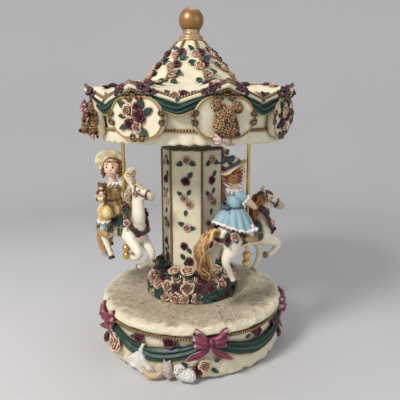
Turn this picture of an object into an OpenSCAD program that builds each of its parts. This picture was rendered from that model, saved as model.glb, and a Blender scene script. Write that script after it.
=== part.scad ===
// Wind-up carousel music box.
// A hollow round base holds the musical movement; a fixed six-sided column stands on it in a heap of
// roses. A shaft from the movement rises through the column and turns the canopy, from which three
// horses with riders hang on brass rods. The winding key is in a recess under the base.
// Millimetres. +Z is up, the origin is on the turning axis, level with the underside of the feet.

/* [Base] */
// Radius of the base wall
base_r = 85; // [82:0.5:90]
// Height of the deck's top above the table
deck_z = 51; // [50:0.5:60]
// Thickness of the deck
deck_t = 5; // [4:0.5:5.5]
// How far the deck's ruffled edge stands out past the wall
ruffle_out = 5; // [4.5:0.5:8]
// Thickness of the base wall
base_wall = 6; // [5:0.5:7]
// Height of the key recess under the base
recess_h = 13; // [12:0.5:15]
// Thickness of the bottom plate
plate_t = 2.4; // [1.6:0.2:3]
// Thickness of a felt foot
foot_t = 1; // [0.8:0.1:2]
// Radius of a felt foot
foot_r = 2.6; // [2:0.1:2.8]
// Height of the rocky skirt round the foot of the base
rock_h = 17; // [12:0.5:24]

/* [Column] */
// Radius of the column over its corners
column_r = 29.5; // [27:0.5:32]
// Height of the column above the deck
column_h = 142; // [138:1:144]
// Thickness of the column wall
column_wall = 3; // [2:0.25:5]
// Thickness of the column's top plate
cap_t = 3.2; // [2:0.2:4]
// Radius of the rose heap on the deck
heap_r = 42; // [39:0.5:46]
// Height of the rose heap
heap_h = 27; // [24:0.5:30]
// Radius of the roses on the heap
rose_r = 4.3; // [3.9:0.1:4.6]

/* [Canopy] */
// Clear gap between the column and the canopy's lower edge
canopy_gap = 7; // [5:0.5:12]
// Radius of the canopy's lower edge
canopy_r = 82; // [80:0.5:84]
// Thickness of the canopy wall
canopy_wall = 3; // [2.5:0.25:4]
// Height of the canopy wall below the eave points
canopy_h = 34.5; // [33:0.5:38]
// How far the eave's low points stand out past the lower edge
eave_out = 9; // [8:0.5:12]
// How far the gable peaks stand out past the low points
gable_out = 7; // [5:0.5:9]
// Rise of the gable peaks over the low points
peak_rise = 12; // [10:0.5:14]
// Radius of the tent's foot at its ribs
tent_r = 46; // [42:0.5:50]
// Height of the tent's foot above the low points
tent_rise = 15.5; // [14.5:0.5:18]
// Height of the tent
tent_h = 38; // [34:0.5:42]
// Depth of the scallops along the lower edge
scallop_d = 2.2; // [1:0.1:3]
// Radius of the rope trim
rope_r = 1.1; // [0.8:0.1:1.3]
// Half height of a medallion
medal_r = 16.5; // [15:0.25:17]
// Length of a bear head, ear to chin
bear_l = 31; // [28:0.5:33]

/* [Finial] */
// Radius of the ball
ball_r = 11.25; // [9:0.25:13]
// Radius of the collar under it
collar_r = 11.5; // [10:0.25:13]
// Height of the collar
collar_h = 6; // [4:0.25:8]
// Height of the neck between collar and ball
neck_h = 6; // [4:0.25:8]

/* [Ride] */
// Distance of the rods from the axis
ride_r = 66; // [64:0.5:68]
// Radius of a brass rod
rod_r = 1.6; // [1.2:0.1:1.9]
// Height of a horse's body above the table
horse_z = 118; // [116:0.5:124]
// Length of a horse's body, chest to rump
horse_l = 57.6; // [52:0.2:60]
// Radius of the balls at the end of a rod
rod_ball_r = 3.8; // [3.2:0.1:4]
// Height of a rider above the saddle
rider_h = 62; // [56:0.5:63]

/* [Movement] */
// Radius of the drive shaft
shaft_r = 2; // [1.6:0.1:2.2]
// Running clearance of a shaft in its bush
run = 0.06; // [0.04:0.01:0.08]
// Radius of the spring barrel
barrel_r = 13; // [12.6:0.1:13.4]
// Height of the spring barrel
barrel_h = 10; // [9:0.25:10.5]
// Radius of the pinned cylinder
drum_r = 6.5; // [6:0.1:6.8]
// Length of the pinned cylinder
drum_l = 20; // [18:0.5:21]
// Half width of the winding key
key_w = 14.5; // [12:0.5:16]
// Thickness of the key's wings
key_t = 1.8; // [1.4:0.1:2.4]

/* [Hidden] */
$fn = 48;

// Base
wall_top = deck_z - deck_t;
deck_r = base_r + ruffle_out;
base_in = base_r - base_wall;        // inside of the recess
ledge_in = base_in - 4;              // inside of the wall above the bottom plate
plate_top = recess_h + plate_t;
boss_r = 4.5;
boss_at = ledge_in - boss_r + 0.5;
boss_count = 3;
boss_turn = 90;
screw_r = 1.4;
screw_head = 2.8;
foot_count = 4;
foot_sink = 0.4;
rock_lobe = 15;
rock_out = 4;
figures_at = 253;
rock_seat = 0.8;
rock_count = 19;
ruffle_drop = 8;
bow_count = 5;
bow_turn = 281;
bow_step = 360 / bow_count;
bow_z = deck_z - 13;

// Column
rose_k = rose_r / 4.3;               // every rose and leaf follows those on the heap
column_turn = 49.5;
column_face = column_r * cos(30);
column_top = deck_z + column_h;
heap_top = deck_z + heap_h;
bush_r = shaft_r + 2.4;

// Canopy
canopy_z = column_top + canopy_gap;
sectors = 8;
sector = 360 / sectors;
canopy_turn = 17.5;
per = 16;
ring_n = sectors * per;
eave_r = canopy_r + eave_out;
peak_r = eave_r + gable_out;
soffit_low = 4;                      // overhang of the eave past the wall, at a low point and at a gable
soffit_gable = 9.5;
soffit_drop = 2.5;
eave_z = canopy_z + canopy_h;
peak_z = eave_z + peak_rise;
tent_z = eave_z + tent_rise;
roof_z = tent_z + tent_h;
tip_r = 13;
cornice_t = 2.5;
roof_hole = 5;
rope_line = 14;
wall_lean = 1.5;
floor_rise = 6;
floor_t = 3;
floor_z = canopy_z + floor_rise;
medal_half = 8;
medal_z = canopy_z + 23.5;
wall_rise = peak_z - cornice_t - soffit_drop - canopy_z - rope_line;
wall_out = peak_r - soffit_gable - canopy_r - wall_lean;
medal_out = 4.27;
medal_face = canopy_r + wall_lean + wall_out * (medal_z - canopy_z - rope_line) / wall_rise + medal_out;
medal_lean = atan(wall_out / wall_rise) - 3.3;

// Finial
neck_r = collar_r - 3.75;
ball_z = roof_z + collar_h + neck_h + ball_r * 0.62;

// Ride
horse_k = horse_l / 57.6;
riders = 3;
ride_turn = 199.5;
lower_ball_z = horse_z - 27 * horse_k;
upper_ball_z = horse_z - 19.5 * horse_k;
rod_top = floor_z + floor_t + 5;

// Movement, all heights from the bottom plate up
bed_t = 2;
bed_top = plate_top + bed_t;
arbor_r = 2.5;
ratchet_r = 6;
ratchet_t = 1;
ratchet_n = 12;
barrel_z = bed_top + 2;
barrel_top = barrel_z + barrel_h;
barrel_wall = 1;
crown_n = 36;
crown_h = 1.7;
crown_in = barrel_r - 2;
mesh_r = barrel_r - 1;
pinion_n = 12;
pinion_r = mesh_r * pinion_n / crown_n;
axle_r = 0.9;
axle_z = barrel_top + crown_h / 2 + pinion_r;
drum_x = barrel_r + 4;
post_t = 2;
post_in = barrel_r + 1;
gear_x = drum_x + drum_l + 1;
gear_t = 2;
gear_n = 36;
gear_r = 9;
wheel_n = 12;
wheel_pinion_r = gear_r * wheel_n / gear_n;
wheel_y = gear_r + wheel_pinion_r;
wheel_r = 6;
wheel_teeth = 24;
wheel_x = gear_x + gear_t + 1;
post_out = wheel_x + 3;
worm_r = 1.5;
worm_x = wheel_x + 0.75;
gear_add = 0.4;
worm_gap = 0.35;
worm_y = wheel_y + wheel_r + gear_add + worm_r + worm_gap;
fly_r = 2.8;
pin_h = 0.6;
comb_gap = 0.35;
comb_t = 1;
comb_tip = drum_r + pin_h + comb_gap;
comb_teeth = 18;
comb_l = 23;
comb_base = 10;
bridge_t = 2;
bridge_z = barrel_top + crown_h + 1.6;
bridge_y = barrel_r + 3.5;
key_gap = 1.2;
key_z = foot_t + 1.2;
key_top = recess_h - key_gap;
shaft_top = roof_z + collar_h + neck_h;

function pol(r, a) = [r * cos(a), r * sin(a)];
function mix(a, b, t) = a + (b - a) * t;
function hash(n) = sin(n * 127.1 + 31.7) * 4375.85 - floor(sin(n * 127.1 + 31.7) * 4375.85);

// Puts a shape on a ring: local +Z points away from the axis, raised by tilt degrees
module outward(r, a, z, tilt = 0) {
    rotate([0, 0, a]) translate([r, 0, z]) rotate([0, 90 - tilt, 0]) rotate([0, 0, 90]) children();
}

// A rosebud: a low cup with a raised heart
module rose(size) {
    r = size * rose_k;
    rotate_extrude($fn = 24)
        polygon([[0, 0], [r * 0.75, 0], [r, r * 0.45], [r * 0.8, r * 0.85], [r * 0.45, r * 0.7], [0, r]]);
}

// A pointed leaf of length l lying flat, its stem end at the origin
module leaf(size, t = 1) {
    l = size * rose_k;
    linear_extrude(t) intersection() {
        translate([l / 2, l * 0.42]) circle(l * 0.66);
        translate([l / 2, -l * 0.42]) circle(l * 0.66);
    }
}

// A tapering limb through a list of [position, radius]
module limb(joints, n = 8) {
    for (i = [0:len(joints) - 2]) hull() {
        translate(joints[i][0]) sphere(joints[i][1], $fn = n);
        translate(joints[i + 1][0]) sphere(joints[i + 1][1], $fn = n);
    }
}

// A flattened rope of cloth through points round the axis, half thick and half high, closed on itself
module garland(points, thick, high) {
    n = len(points);
    sides = 8;
    function frame(i) = let (
        p = points[i], q = points[(i + 1) % n] - points[(i + n - 1) % n], t = q / norm(q),
        u = [p[0], p[1], 0] / norm([p[0], p[1]])) [u, cross(t, u)];
    polyhedron(
        [for (i = [0:n - 1]) for (k = [0:sides - 1]) let (f = frame(i), a = k * 360 / sides)
            points[i] + f[0] * thick * cos(a) + f[1] * high * sin(a)],
        [for (i = [0:n - 1]) for (k = [0:sides - 1]) let (
            a = i * sides + k, b = i * sides + (k + 1) % sides,
            c = ((i + 1) % n) * sides + k, d = ((i + 1) % n) * sides + (k + 1) % sides)
            each [[a, c, b], [b, c, d]]]);
}

// A straight rod between two points
module strut(a, b, r) {
    d = b - a;
    translate(a) rotate([0, acos(d[2] / norm(d)), atan2(d[1], d[0])]) cylinder(norm(d), r, r);
}

// A spur gear with straight teeth; tooth 0 points along +X when phase is 0
module gear(r, n, t, phase = 0, tooth = 0.6, add = gear_add) {
    cylinder(t, r - add, r - add);
    for (i = [0:n - 1]) rotate([0, 0, (i + phase) * 360 / n])
        translate([r - add - 0.4, -tooth / 2, 0]) cube([2 * add + 0.4, tooth, t]);
}

// ---- Base ----

module base_shell() {
    color("ivory") difference() {
        union() {
            rotate_extrude() polygon([[0, foot_t], [base_r - 2, foot_t], [base_r + 1, rock_h * 0.5],
                [base_r - 2, rock_h + 6], [base_r - 1.5, wall_top - 8], [base_r, wall_top], [0, wall_top]]);
            for (i = [0:rock_count - 1]) rotate([0, 0, i * 360 / rock_count])
                translate([base_r + rock_out - rock_lobe, 0, foot_t])
                    cylinder(rock_h + 3 * hash(i), rock_lobe, rock_lobe);
        }
        translate([0, 0, -1]) cylinder(plate_top + 1, base_in, base_in);
        difference() {
            cylinder(wall_top + 1, ledge_in, ledge_in);
            for (i = [0:boss_count - 1]) rotate([0, 0, boss_turn + i * 360 / boss_count])
                translate([boss_at, 0, plate_top]) cylinder(12, boss_r, boss_r);
        }
        for (i = [0:boss_count - 1]) rotate([0, 0, boss_turn + i * 360 / boss_count])
            translate([boss_at, 0, plate_top - 1]) cylinder(9, screw_r, screw_r);
        for (i = [0:foot_count - 1]) rotate([0, 0, 45 + i * 360 / foot_count])
            translate([base_r - base_wall / 2, 0, 0]) cylinder(foot_t + foot_sink, foot_r + 0.05, foot_r + 0.05);
    }
}

module base_deck() {
    color("antiquewhite") difference() {
        rotate_extrude() polygon([[0, wall_top], [base_r + 0.4, wall_top],
            [base_r + 0.4, deck_z - ruffle_drop], [deck_r - 1, deck_z - ruffle_drop], [deck_r, deck_z - 4],
            [deck_r - 2, deck_z - 1], [deck_r - 6, deck_z], [0, deck_z]]);
        cylinder(deck_z + 1, shaft_r + 1, shaft_r + 1);
    }
}

module base_rope() {
    color("darkgoldenrod") translate([0, 0, deck_z - ruffle_drop - rope_r])
        rotate_extrude() translate([base_r + 0.4, 0]) circle(rope_r, $fn = 16);
}

// The height of the draped swag at angle a: up at the bows, down between them
function base_drape(a) = let (t = abs(((a - bow_turn) % bow_step + bow_step) % bow_step / bow_step - 0.5) * 2)
    bow_z - 2 - 14 * (1 - t * t);

module base_swag() {
    n = bow_count * 12;
    color("darkgreen") garland([for (i = [0:n - 1]) let (a = bow_turn + i * 360 / n)
        [(base_r + 0.8) * cos(a), (base_r + 0.8) * sin(a), base_drape(a)]], 2.4, 4);
}

// A ribbon bow, flat against the wall: two loops, a knot and two tails
module bow(w) {
    for (s = [-1, 1]) {
        hull() {
            translate([s * w * 0.12, 0, 0]) sphere(w * 0.1, $fn = 6);
            translate([s * w * 0.4, w * 0.12, 0]) sphere(w * 0.1, $fn = 6);
            translate([s * w * 0.4, -w * 0.14, 0]) sphere(w * 0.1, $fn = 6);
        }
        hull() {
            sphere(w * 0.08, $fn = 6);
            translate([s * w * 0.32, -w * 0.62, 0]) sphere(w * 0.08, $fn = 6);
        }
    }
    sphere(w * 0.14, $fn = 8);
}

module base_bows() {
    color("mediumvioletred") for (i = [0:bow_count - 1])
        outward(base_r + 5, bow_turn + i * bow_step, bow_z) bow(30);
}

// Roses on the base wall: [angle from a bow, height above the table, radius]
base_rose_spots = [[-30, 35, 5], [-3, 13, 5.5], [-8, 8, 4.5], [7, 18, 4], [32, 34, 4.5]];

module base_roses() {
    color("rosybrown") for (i = [0:bow_count - 1]) for (s = base_rose_spots)
        outward(base_r + (s[1] > rock_h + 3 ? -1.6 : rock_seat), bow_turn + i * bow_step + s[0],
            max(s[1], s[2] + foot_t + 0.5)) rose(s[2]);
}

module base_leaves() {
    color("darkgreen") for (i = [0:bow_count - 1]) for (s = [[-12.5, 12, 155], [4, 11, 20], [-24.5, 33, 20]])
        outward(base_r + (s[1] > rock_h + 3 ? -1 : rock_seat), bow_turn + i * bow_step + s[0], s[1])
            rotate([0, 0, s[2]]) leaf(7, s[1] > rock_h + 3 ? 1.8 : rock_out);
}

module base_figures() {
    r = base_r + rock_out;
    function along(s) = figures_at + s * 180 / (PI * r);
    color("whitesmoke") {
        outward(r - 3, along(-23.3), rock_h + 7) limb([[[0, 8, 0], 2.5], [[-3, -10, 0], 5.5], [[5, -14, 0], 4]], 10);
        outward(r - 2, along(-6.2), 6) limb([[[-8, 1, 0], 2], [[0, -1, 1], 3], [[8, 2, 0], 2]], 10);
        outward(r - 2, along(7.8), 11) limb([[[0, -2, 0], 5], [[1, 3, 0], 4.5]], 10);
        outward(r - 1, along(23.3), 12) limb([[[-6, 3, 0], 4.5], [[4, -3, 0], 5.5]], 10);
    }
}

module felt_feet() {
    color("dimgray") for (i = [0:foot_count - 1]) rotate([0, 0, 45 + i * 360 / foot_count])
        translate([base_r - base_wall / 2, 0, 0]) cylinder(foot_t + foot_sink, foot_r, foot_r);
}

module bottom_plate() {
    color("saddlebrown") translate([0, 0, recess_h]) difference() {
        cylinder(plate_t, base_in - 0.3, base_in - 0.3);
        translate([0, 0, -1]) cylinder(plate_t + 2, arbor_r + 1.5, arbor_r + 1.5);
        for (i = [0:boss_count - 1]) rotate([0, 0, boss_turn + i * 360 / boss_count])
            translate([boss_at, 0, -1]) cylinder(plate_t + 2, screw_r + 0.2, screw_r + 0.2);
        for (p = bed_screws) translate([p[0], p[1], -1]) cylinder(plate_t + 2, screw_r + 0.2, screw_r + 0.2);
    }
}

module wood_screw(l) {
    cylinder(1.4, screw_head, screw_head * 0.8);
    translate([0, 0, 1.4]) cylinder(l, screw_r - 0.02, screw_r - 0.02);
}

module bottom_screws() {
    color("silver") for (i = [0:boss_count - 1]) rotate([0, 0, boss_turn + i * 360 / boss_count])
        translate([boss_at, 0, recess_h - 1.4]) wood_screw(plate_t + 7);
}

// ---- Rose heap and column ----

// The mound's outline, from the deck up to the column
heap_line = [[heap_r, 0], [heap_r + 1.5, 0.2], [heap_r - 1, 0.55], [heap_r - 7, 0.85], [column_r + 2, 1]];

module hex(r) { rotate(column_turn) circle(r, $fn = 6); }

module rose_heap() {
    color("sienna") difference() {
        rotate_extrude() polygon(concat([[0, deck_z]],
            [for (p = heap_line) [p[0], deck_z + p[1] * heap_h]], [[0, heap_top]]));
        translate([0, 0, deck_z - 1]) linear_extrude(heap_h + 2) hex(column_r);
    }
}

// Rows of roses on the mound: [height share, radius of the row, count, tilt of the flowers]
heap_rows = [[0.19, heap_r + 1.2, 26, 0], [0.48, heap_r - 0.4, 24, 18], [0.75, heap_r - 4.6, 18, 40],
    [0.97, column_r + 5.5, 13, 62]];

// Kind of the flower at place k of row j: 0 burgundy, 1 peach, 2 leaves
function heap_kind(j, k) = let (h = hash(j * 37 + k * 5 + 3)) h < 0.4 ? 0 : h < 0.78 ? 1 : 2;

module heap_flowers(kind) {
    for (j = [0:len(heap_rows) - 1]) let (w = heap_rows[j]) for (k = [0:w[2] - 1])
        if (heap_kind(j, k) == kind)
            outward(w[1] - 0.8, (k + j * 0.5) * 360 / w[2] + 4 * j, deck_z + w[0] * heap_h, w[3])
                if (kind == 2) for (s = [-1, 1]) rotate([0, 0, 90 + s * 50]) leaf(6.4, 2);
                else rose(4.3 + 0.35 * hash(j + k * 3));
}

module heap_roses_burgundy() { color("maroon") heap_flowers(0); }
module heap_roses_peach() { color("darksalmon") heap_flowers(1); }
module heap_leaves() { color("darkgreen") heap_flowers(2); }

module column() {
    color("ivory") translate([0, 0, deck_z]) linear_extrude(column_h - cap_t) difference() {
        hex(column_r);
        hex(column_r - column_wall / cos(30));
    }
}

module column_cap() {
    color("saddlebrown") translate([0, 0, column_top - cap_t]) difference() {
        linear_extrude(cap_t) hex(column_r + 0.8);
        translate([0, 0, -1]) cylinder(cap_t + 2, bush_r, bush_r);
    }
}

module column_bush() {
    color("gold") translate([0, 0, column_top - cap_t]) difference() {
        union() {
            translate([0, 0, -2]) cylinder(2, bush_r + 1.5, bush_r + 1.5);
            cylinder(cap_t, bush_r, bush_r);
        }
        translate([0, 0, -3]) cylinder(cap_t + 6, shaft_r + run, shaft_r + run);
    }
}

module column_rope() {
    color("darkgoldenrod") for (i = [0:5]) rotate([0, 0, column_turn + i * 60])
        translate([column_r - 0.3, 0, heap_top]) cylinder(column_top - cap_t - heap_top, rope_r, rope_r);
}

// Sprigs down each face: [share of the way down, sideways, rose radius]
sprig_roses = [[0.06, 0, 3], [0.22, -1, 3.1], [0.385, -2.5, 2.8], [0.43, 2.5, 2.8], [0.66, 0, 2.9], [0.8, -3, 2.7]];
sprig_leaves = [[0.075, -3.6, 200], [0.07, 3.6, -20], [0.19, 2.4, 35], [0.36, 4.8, 50], [0.35, -4.8, 140],
    [0.47, -1.2, 260], [0.64, -3.6, 140], [0.64, 3.6, 40], [0.83, 0.4, -60]];

module on_face(i, s) {
    h = column_top - cap_t - heap_top;
    rotate([0, 0, column_turn + 30 + i * 60]) translate([column_face, s[1], heap_top + h * (1 - s[0])])
        rotate([0, 90, 0]) rotate([0, 0, 90]) children();
}

module column_roses() { color("maroon") for (i = [0:5]) for (s = sprig_roses) on_face(i, s) rose(s[2]); }

module column_leaves() {
    color("darkgreen") for (i = [0:5]) for (s = sprig_leaves) on_face(i, s) rotate([0, 0, s[2]]) leaf(5.2, 1);
}

// ---- Movement ----

bed_screws = [[-13, -24], [-13, 18], [post_out + 1, -24]];
bed_lo = [-18, -comb_tip - comb_l - 1.5];
bed_hi = [post_out + 6, worm_y + 5];

module movement_bedplate() {
    color("silver") difference() {
        union() {
            translate([bed_lo[0], bed_lo[1], plate_top]) cube([bed_hi[0] - bed_lo[0], bed_hi[1] - bed_lo[1], bed_t]);
            translate([drum_x, -comb_tip - comb_l, bed_top])
                cube([drum_l, comb_base, axle_z - comb_t / 2 - bed_top]);
        }
        translate([0, 0, plate_top - 1]) cylinder(bed_t + 2, arbor_r + run, arbor_r + run);
        for (p = bed_screws) translate([p[0], p[1], plate_top - 1]) cylinder(bed_t + 2, screw_r, screw_r);
        for (s = [0.25, 0.75]) translate([drum_x + drum_l * s, -comb_tip - comb_l + comb_base / 2, axle_z - 7])
            cylinder(8, screw_r, screw_r);
    }
}

module movement_screws() {
    color("gainsboro") {
        for (p = bed_screws) translate([p[0], p[1], recess_h - 1.4]) wood_screw(plate_t + bed_t);
        for (s = [0.25, 0.75]) translate([drum_x + drum_l * s, -comb_tip - comb_l + comb_base / 2,
            axle_z + comb_t / 2 + 1.4]) rotate([180, 0, 0]) wood_screw(comb_t + 5);
    }
}

module barrel_bridge() {
    color("silver") difference() {
        union() {
            translate([-5, -bridge_y - 3, bridge_z]) cube([10, 2 * bridge_y + 6, bridge_t]);
            for (s = [-1, 1]) translate([-5, s * bridge_y - 2, bed_top]) cube([10, 4, bridge_z - bed_top]);
        }
        translate([0, 0, bridge_z - 1]) cylinder(bridge_t + 2, shaft_r + run, shaft_r + run);
    }
}

module comb() {
    slot = 0.35;
    pitch = (drum_l - 1) / comb_teeth;
    color("lightsteelblue") translate([drum_x, -comb_tip - comb_l, axle_z - comb_t / 2]) difference() {
        cube([drum_l, comb_l, comb_t]);
        for (i = [1:comb_teeth]) translate([i * pitch, comb_base + 1.5 + 3 * i / comb_teeth, -1])
            cube([slot, comb_l, comb_t + 2]);
        for (s = [0.25, 0.75]) translate([drum_l * s, comb_base / 2, -1]) cylinder(comb_t + 2, screw_r, screw_r);
    }
}

module axle_post(x, y, z, r, w) {
    translate([x, y - w / 2, bed_top]) cube([post_t, w, z - bed_top]);
    translate([x, y, z]) rotate([0, 90, 0]) cylinder(post_t, w / 2, w / 2);
}

module cylinder_posts() {
    color("goldenrod") difference() {
        union() {
            axle_post(post_in, 0, axle_z, axle_r, 7);
            axle_post(post_out, 0, axle_z, axle_r, 7);
        }
        translate([0, 0, axle_z]) rotate([0, 90, 0]) cylinder(post_out + 9, axle_r + run, axle_r + run);
    }
}

module governor_frame() {
    top = axle_z + wheel_r + 1;
    color("whitesmoke") difference() {
        union() {
            axle_post(post_out, wheel_y, axle_z, axle_r, 6);
            translate([worm_x - 2.5, worm_y + 3.2, bed_top]) cube([5, 1.6, top - bed_top + 1.6]);
            translate([worm_x - 2.5, worm_y - 2, top]) cube([5, 6, 1.6]);
        }
        translate([worm_x, worm_y, 0]) cylinder(top + 9, 0.7 + run, 0.7 + run);
        translate([post_out - 1, wheel_y, axle_z]) rotate([0, 90, 0]) cylinder(9, axle_r + run, axle_r + run);
    }
}

click_at = [-11, -9.5];

module ratchet_click() {
    color("gainsboro") translate([0, 0, bed_top]) {
        translate([click_at[0], click_at[1], 0]) cylinder(0.3 + ratchet_t, 1.6, 1.6);
        translate([0, 0, 0.3]) linear_extrude(ratchet_t) polygon([[click_at[0] - 1, click_at[1] + 1],
            [click_at[0] + 1, click_at[1] - 1], [-ratchet_r * 0.55 + 0.4, -ratchet_r * 0.95 - 0.9],
            [-ratchet_r * 0.55 - 0.5, -ratchet_r * 0.95 - 0.1]]);
    }
}

module key_arbor() {
    color("silver") {
        translate([0, 0, key_top - 5]) cylinder(barrel_top - barrel_wall - 0.4 - key_top + 5, arbor_r, arbor_r);
        translate([0, 0, bed_top + 0.3]) linear_extrude(ratchet_t) union() {
            circle(ratchet_r - 1);
            for (i = [0:ratchet_n - 1]) rotate(i * 360 / ratchet_n)
                polygon([[0, 0], [ratchet_r, 0], [(ratchet_r - 1) * cos(25), (ratchet_r - 1) * sin(25)]]);
        }
    }
}

module winding_key() {
    wing_r = (key_top - key_z - 2.5) / 2;
    color("goldenrod") difference() {
        union() {
            translate([0, 0, key_top - 6]) cylinder(6, arbor_r + 1.5, arbor_r + 1.5);
            translate([0, key_t / 2, 0]) rotate([90, 0, 0]) linear_extrude(key_t) difference() {
                union() {
                    for (s = [-1, 1]) translate([s * (key_w - wing_r), key_z + wing_r]) circle(wing_r);
                    translate([-key_w + wing_r, key_z]) square([2 * (key_w - wing_r), wing_r * 1.5]);
                }
                for (s = [-1, 1]) translate([s * (key_w - wing_r), key_z + wing_r]) circle(wing_r * 0.4);
            }
        }
        translate([0, 0, key_top - 5]) cylinder(7, arbor_r, arbor_r);
    }
}

module pinned_cylinder() {
    color("khaki") translate([0, 0, axle_z]) rotate([0, 90, 0]) {
        translate([0, 0, mesh_r - 1.6]) cylinder(post_out + post_t + 1 - mesh_r + 1.6, axle_r, axle_r);
        translate([0, 0, mesh_r - 1]) gear(pinion_r - 0.1, pinion_n, 1.9, 0.5, 0.55, 0.8);
        translate([0, 0, drum_x]) cylinder(drum_l, drum_r, drum_r);
        for (i = [0:comb_teeth * 3 - 1]) translate([0, 0, drum_x + (floor(i / 3) + 0.5) * (drum_l - 1) / comb_teeth])
            rotate([0, 0, 360 * hash(i + 11)]) rotate([0, 90, 0]) cylinder(drum_r + pin_h, 0.25, 0.25);
        translate([0, 0, gear_x]) gear(gear_r, gear_n, gear_t);
    }
}

module governor_wheel() {
    color("goldenrod") translate([0, wheel_y, axle_z]) rotate([0, 90, 0]) {
        translate([0, 0, gear_x - 1]) cylinder(post_out + post_t + 1 - gear_x + 1, axle_r, axle_r);
        translate([0, 0, gear_x]) gear(wheel_pinion_r, wheel_n, gear_t, 0.5);
        translate([0, 0, wheel_x]) gear(wheel_r, wheel_teeth, 1.5);
    }
}

module governor_fly() {
    low = bed_top + 0.3;
    top = axle_z + wheel_r + 3.5;
    color("gainsboro") translate([worm_x, worm_y, 0]) {
        translate([0, 0, low]) cylinder(top - low, 0.7, 0.7);
        for (k = [0:4]) translate([0, 0, axle_z - 3 + k * 1.4]) cylinder(0.7, 0.9, worm_r);
        translate([-fly_r, -0.25, low + 0.6]) cube([2 * fly_r, 0.5, 6]);
    }
}

module spring_barrel() {
    color("gold") difference() {
        union() {
            translate([0, 0, barrel_z]) cylinder(barrel_h, barrel_r, barrel_r);
            for (i = [0:crown_n - 1]) rotate([0, 0, i * 360 / crown_n])
                translate([crown_in, -0.35, barrel_top - 0.2]) cube([barrel_r - crown_in - 0.1, 0.7, crown_h + 0.2]);
        }
        translate([0, 0, barrel_z + barrel_wall])
            cylinder(barrel_h - 2 * barrel_wall, barrel_r - barrel_wall, barrel_r - barrel_wall);
        translate([0, 0, barrel_z - 1]) cylinder(3, arbor_r + run, arbor_r + run);
    }
}

module mainspring() {
    turns = 7;
    steps = 20;
    r0 = arbor_r + 0.5;
    r1 = barrel_r - barrel_wall - 0.5;
    t = 0.4;
    function spiral(i, d) = pol(r0 + (r1 - r0) * i / (turns * steps) + d, i * 360 / steps);
    color("slategray") translate([0, 0, barrel_z + barrel_wall + 0.5]) linear_extrude(barrel_h - 2 * barrel_wall - 1)
        polygon(concat([for (i = [0:turns * steps]) spiral(i, 0)],
            [for (i = [turns * steps:-1:0]) spiral(i, t)]));
}

module drive_shaft() {
    color("silver") {
        translate([0, 0, barrel_top]) cylinder(1.2, 5, 5);
        translate([0, 0, barrel_top]) cylinder(shaft_top - barrel_top, shaft_r, shaft_r);
    }
}

// ---- Canopy ----

// Place i round the canopy: angle, and share of the way from a gable (0) to a low point (1)
function ring_a(i) = canopy_turn + i * 360 / ring_n;
function ring_t(i) = let (p = i % per) p <= per / 2 ? p / (per / 2) : (per - p) / (per / 2);
function eave_xy(i, d) = let (p = i % per, a = canopy_turn + floor(i / per) * sector, h = per / 2)
    p <= h ? mix(pol(peak_r - d, a), pol(eave_r - d, a + sector / 2), p / h)
           : mix(pol(eave_r - d, a + sector / 2), pol(peak_r - d, a + sector), (p - h) / h);
function eave_h(i) = mix(peak_z, eave_z, ring_t(i));
function scallop(i) = scallop_d * (1 - pow(sin(i * 45), 2));
function octagon(i, r) = let (p = (i % per) * sector / per - sector / 2)
    pol(r * cos(sector / 2) / cos(p), ring_a(i));
function lift(xy, z) = [xy[0], xy[1], z];
function soffit_r(i) = mix(peak_r - soffit_gable, eave_r - soffit_low, ring_t(i));

function shell_ring(k, i) =
    k == 0 ? lift(pol(canopy_r, ring_a(i)), canopy_z + scallop(i)) :
    k == 1 ? lift(pol(canopy_r + wall_lean, ring_a(i)), canopy_z + rope_line) :
    k == 2 ? lift(pol(soffit_r(i), ring_a(i)), eave_h(i) - cornice_t - soffit_drop) :
    k == 3 ? lift(eave_xy(i, 0.6), eave_h(i) - cornice_t) :
    k == 4 ? lift(eave_xy(i, 0), eave_h(i)) :
    k == 5 ? lift(octagon(i, tent_r), tent_z) :
    k == 6 ? lift(octagon(i, tip_r), roof_z) :
    k == 7 ? lift(pol(roof_hole, ring_a(i)), roof_z) :
    k == 8 ? lift(pol(roof_hole, ring_a(i)), roof_z - canopy_wall) :
    k == 9 ? lift(octagon(i, tip_r - canopy_wall), roof_z - canopy_wall) :
    k == 10 ? lift(octagon(i, tent_r - canopy_wall), tent_z - canopy_wall) :
    k == 11 ? lift(pol(soffit_r(i) - canopy_wall, ring_a(i)), eave_h(i) - cornice_t - soffit_drop) :
    k == 12 ? lift(pol(canopy_r + wall_lean - canopy_wall, ring_a(i)), canopy_z + rope_line) :
              lift(pol(canopy_r - canopy_wall, ring_a(i)), canopy_z + scallop(i));

module canopy_shell() {
    rings = 14;
    color("ivory") polyhedron(
        [for (k = [0:rings - 1]) for (i = [0:ring_n - 1]) shell_ring(k, i)],
        [for (k = [0:rings - 1]) for (i = [0:ring_n - 1]) let (
            j = (i + 1) % ring_n, m = (k + 1) % rings,
            a = k * ring_n + i, b = k * ring_n + j, c = m * ring_n + i, d = m * ring_n + j)
            each [[a, c, b], [b, c, d]]]);
}

module canopy_floor() {
    color("wheat") translate([0, 0, floor_z]) difference() {
        cylinder(floor_t, canopy_r - canopy_wall + 0.2, canopy_r - canopy_wall + 0.2);
        translate([0, 0, -1]) cylinder(floor_t + 2, shaft_r + 2, shaft_r + 2);
        for (i = [0:riders - 1]) rotate([0, 0, ride_turn + i * 360 / riders])
            translate([ride_r, 0, -1]) cylinder(floor_t + 2, rod_r, rod_r);
    }
}

module canopy_hub() {
    color("silver") difference() {
        union() {
            translate([0, 0, floor_z]) cylinder(floor_t + 12, shaft_r + 2, shaft_r + 2);
            translate([0, 0, floor_z + floor_t]) cylinder(2, 12, 12);
        }
        translate([0, 0, floor_z - 1]) cylinder(floor_t + 14, shaft_r, shaft_r);
    }
}

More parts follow.
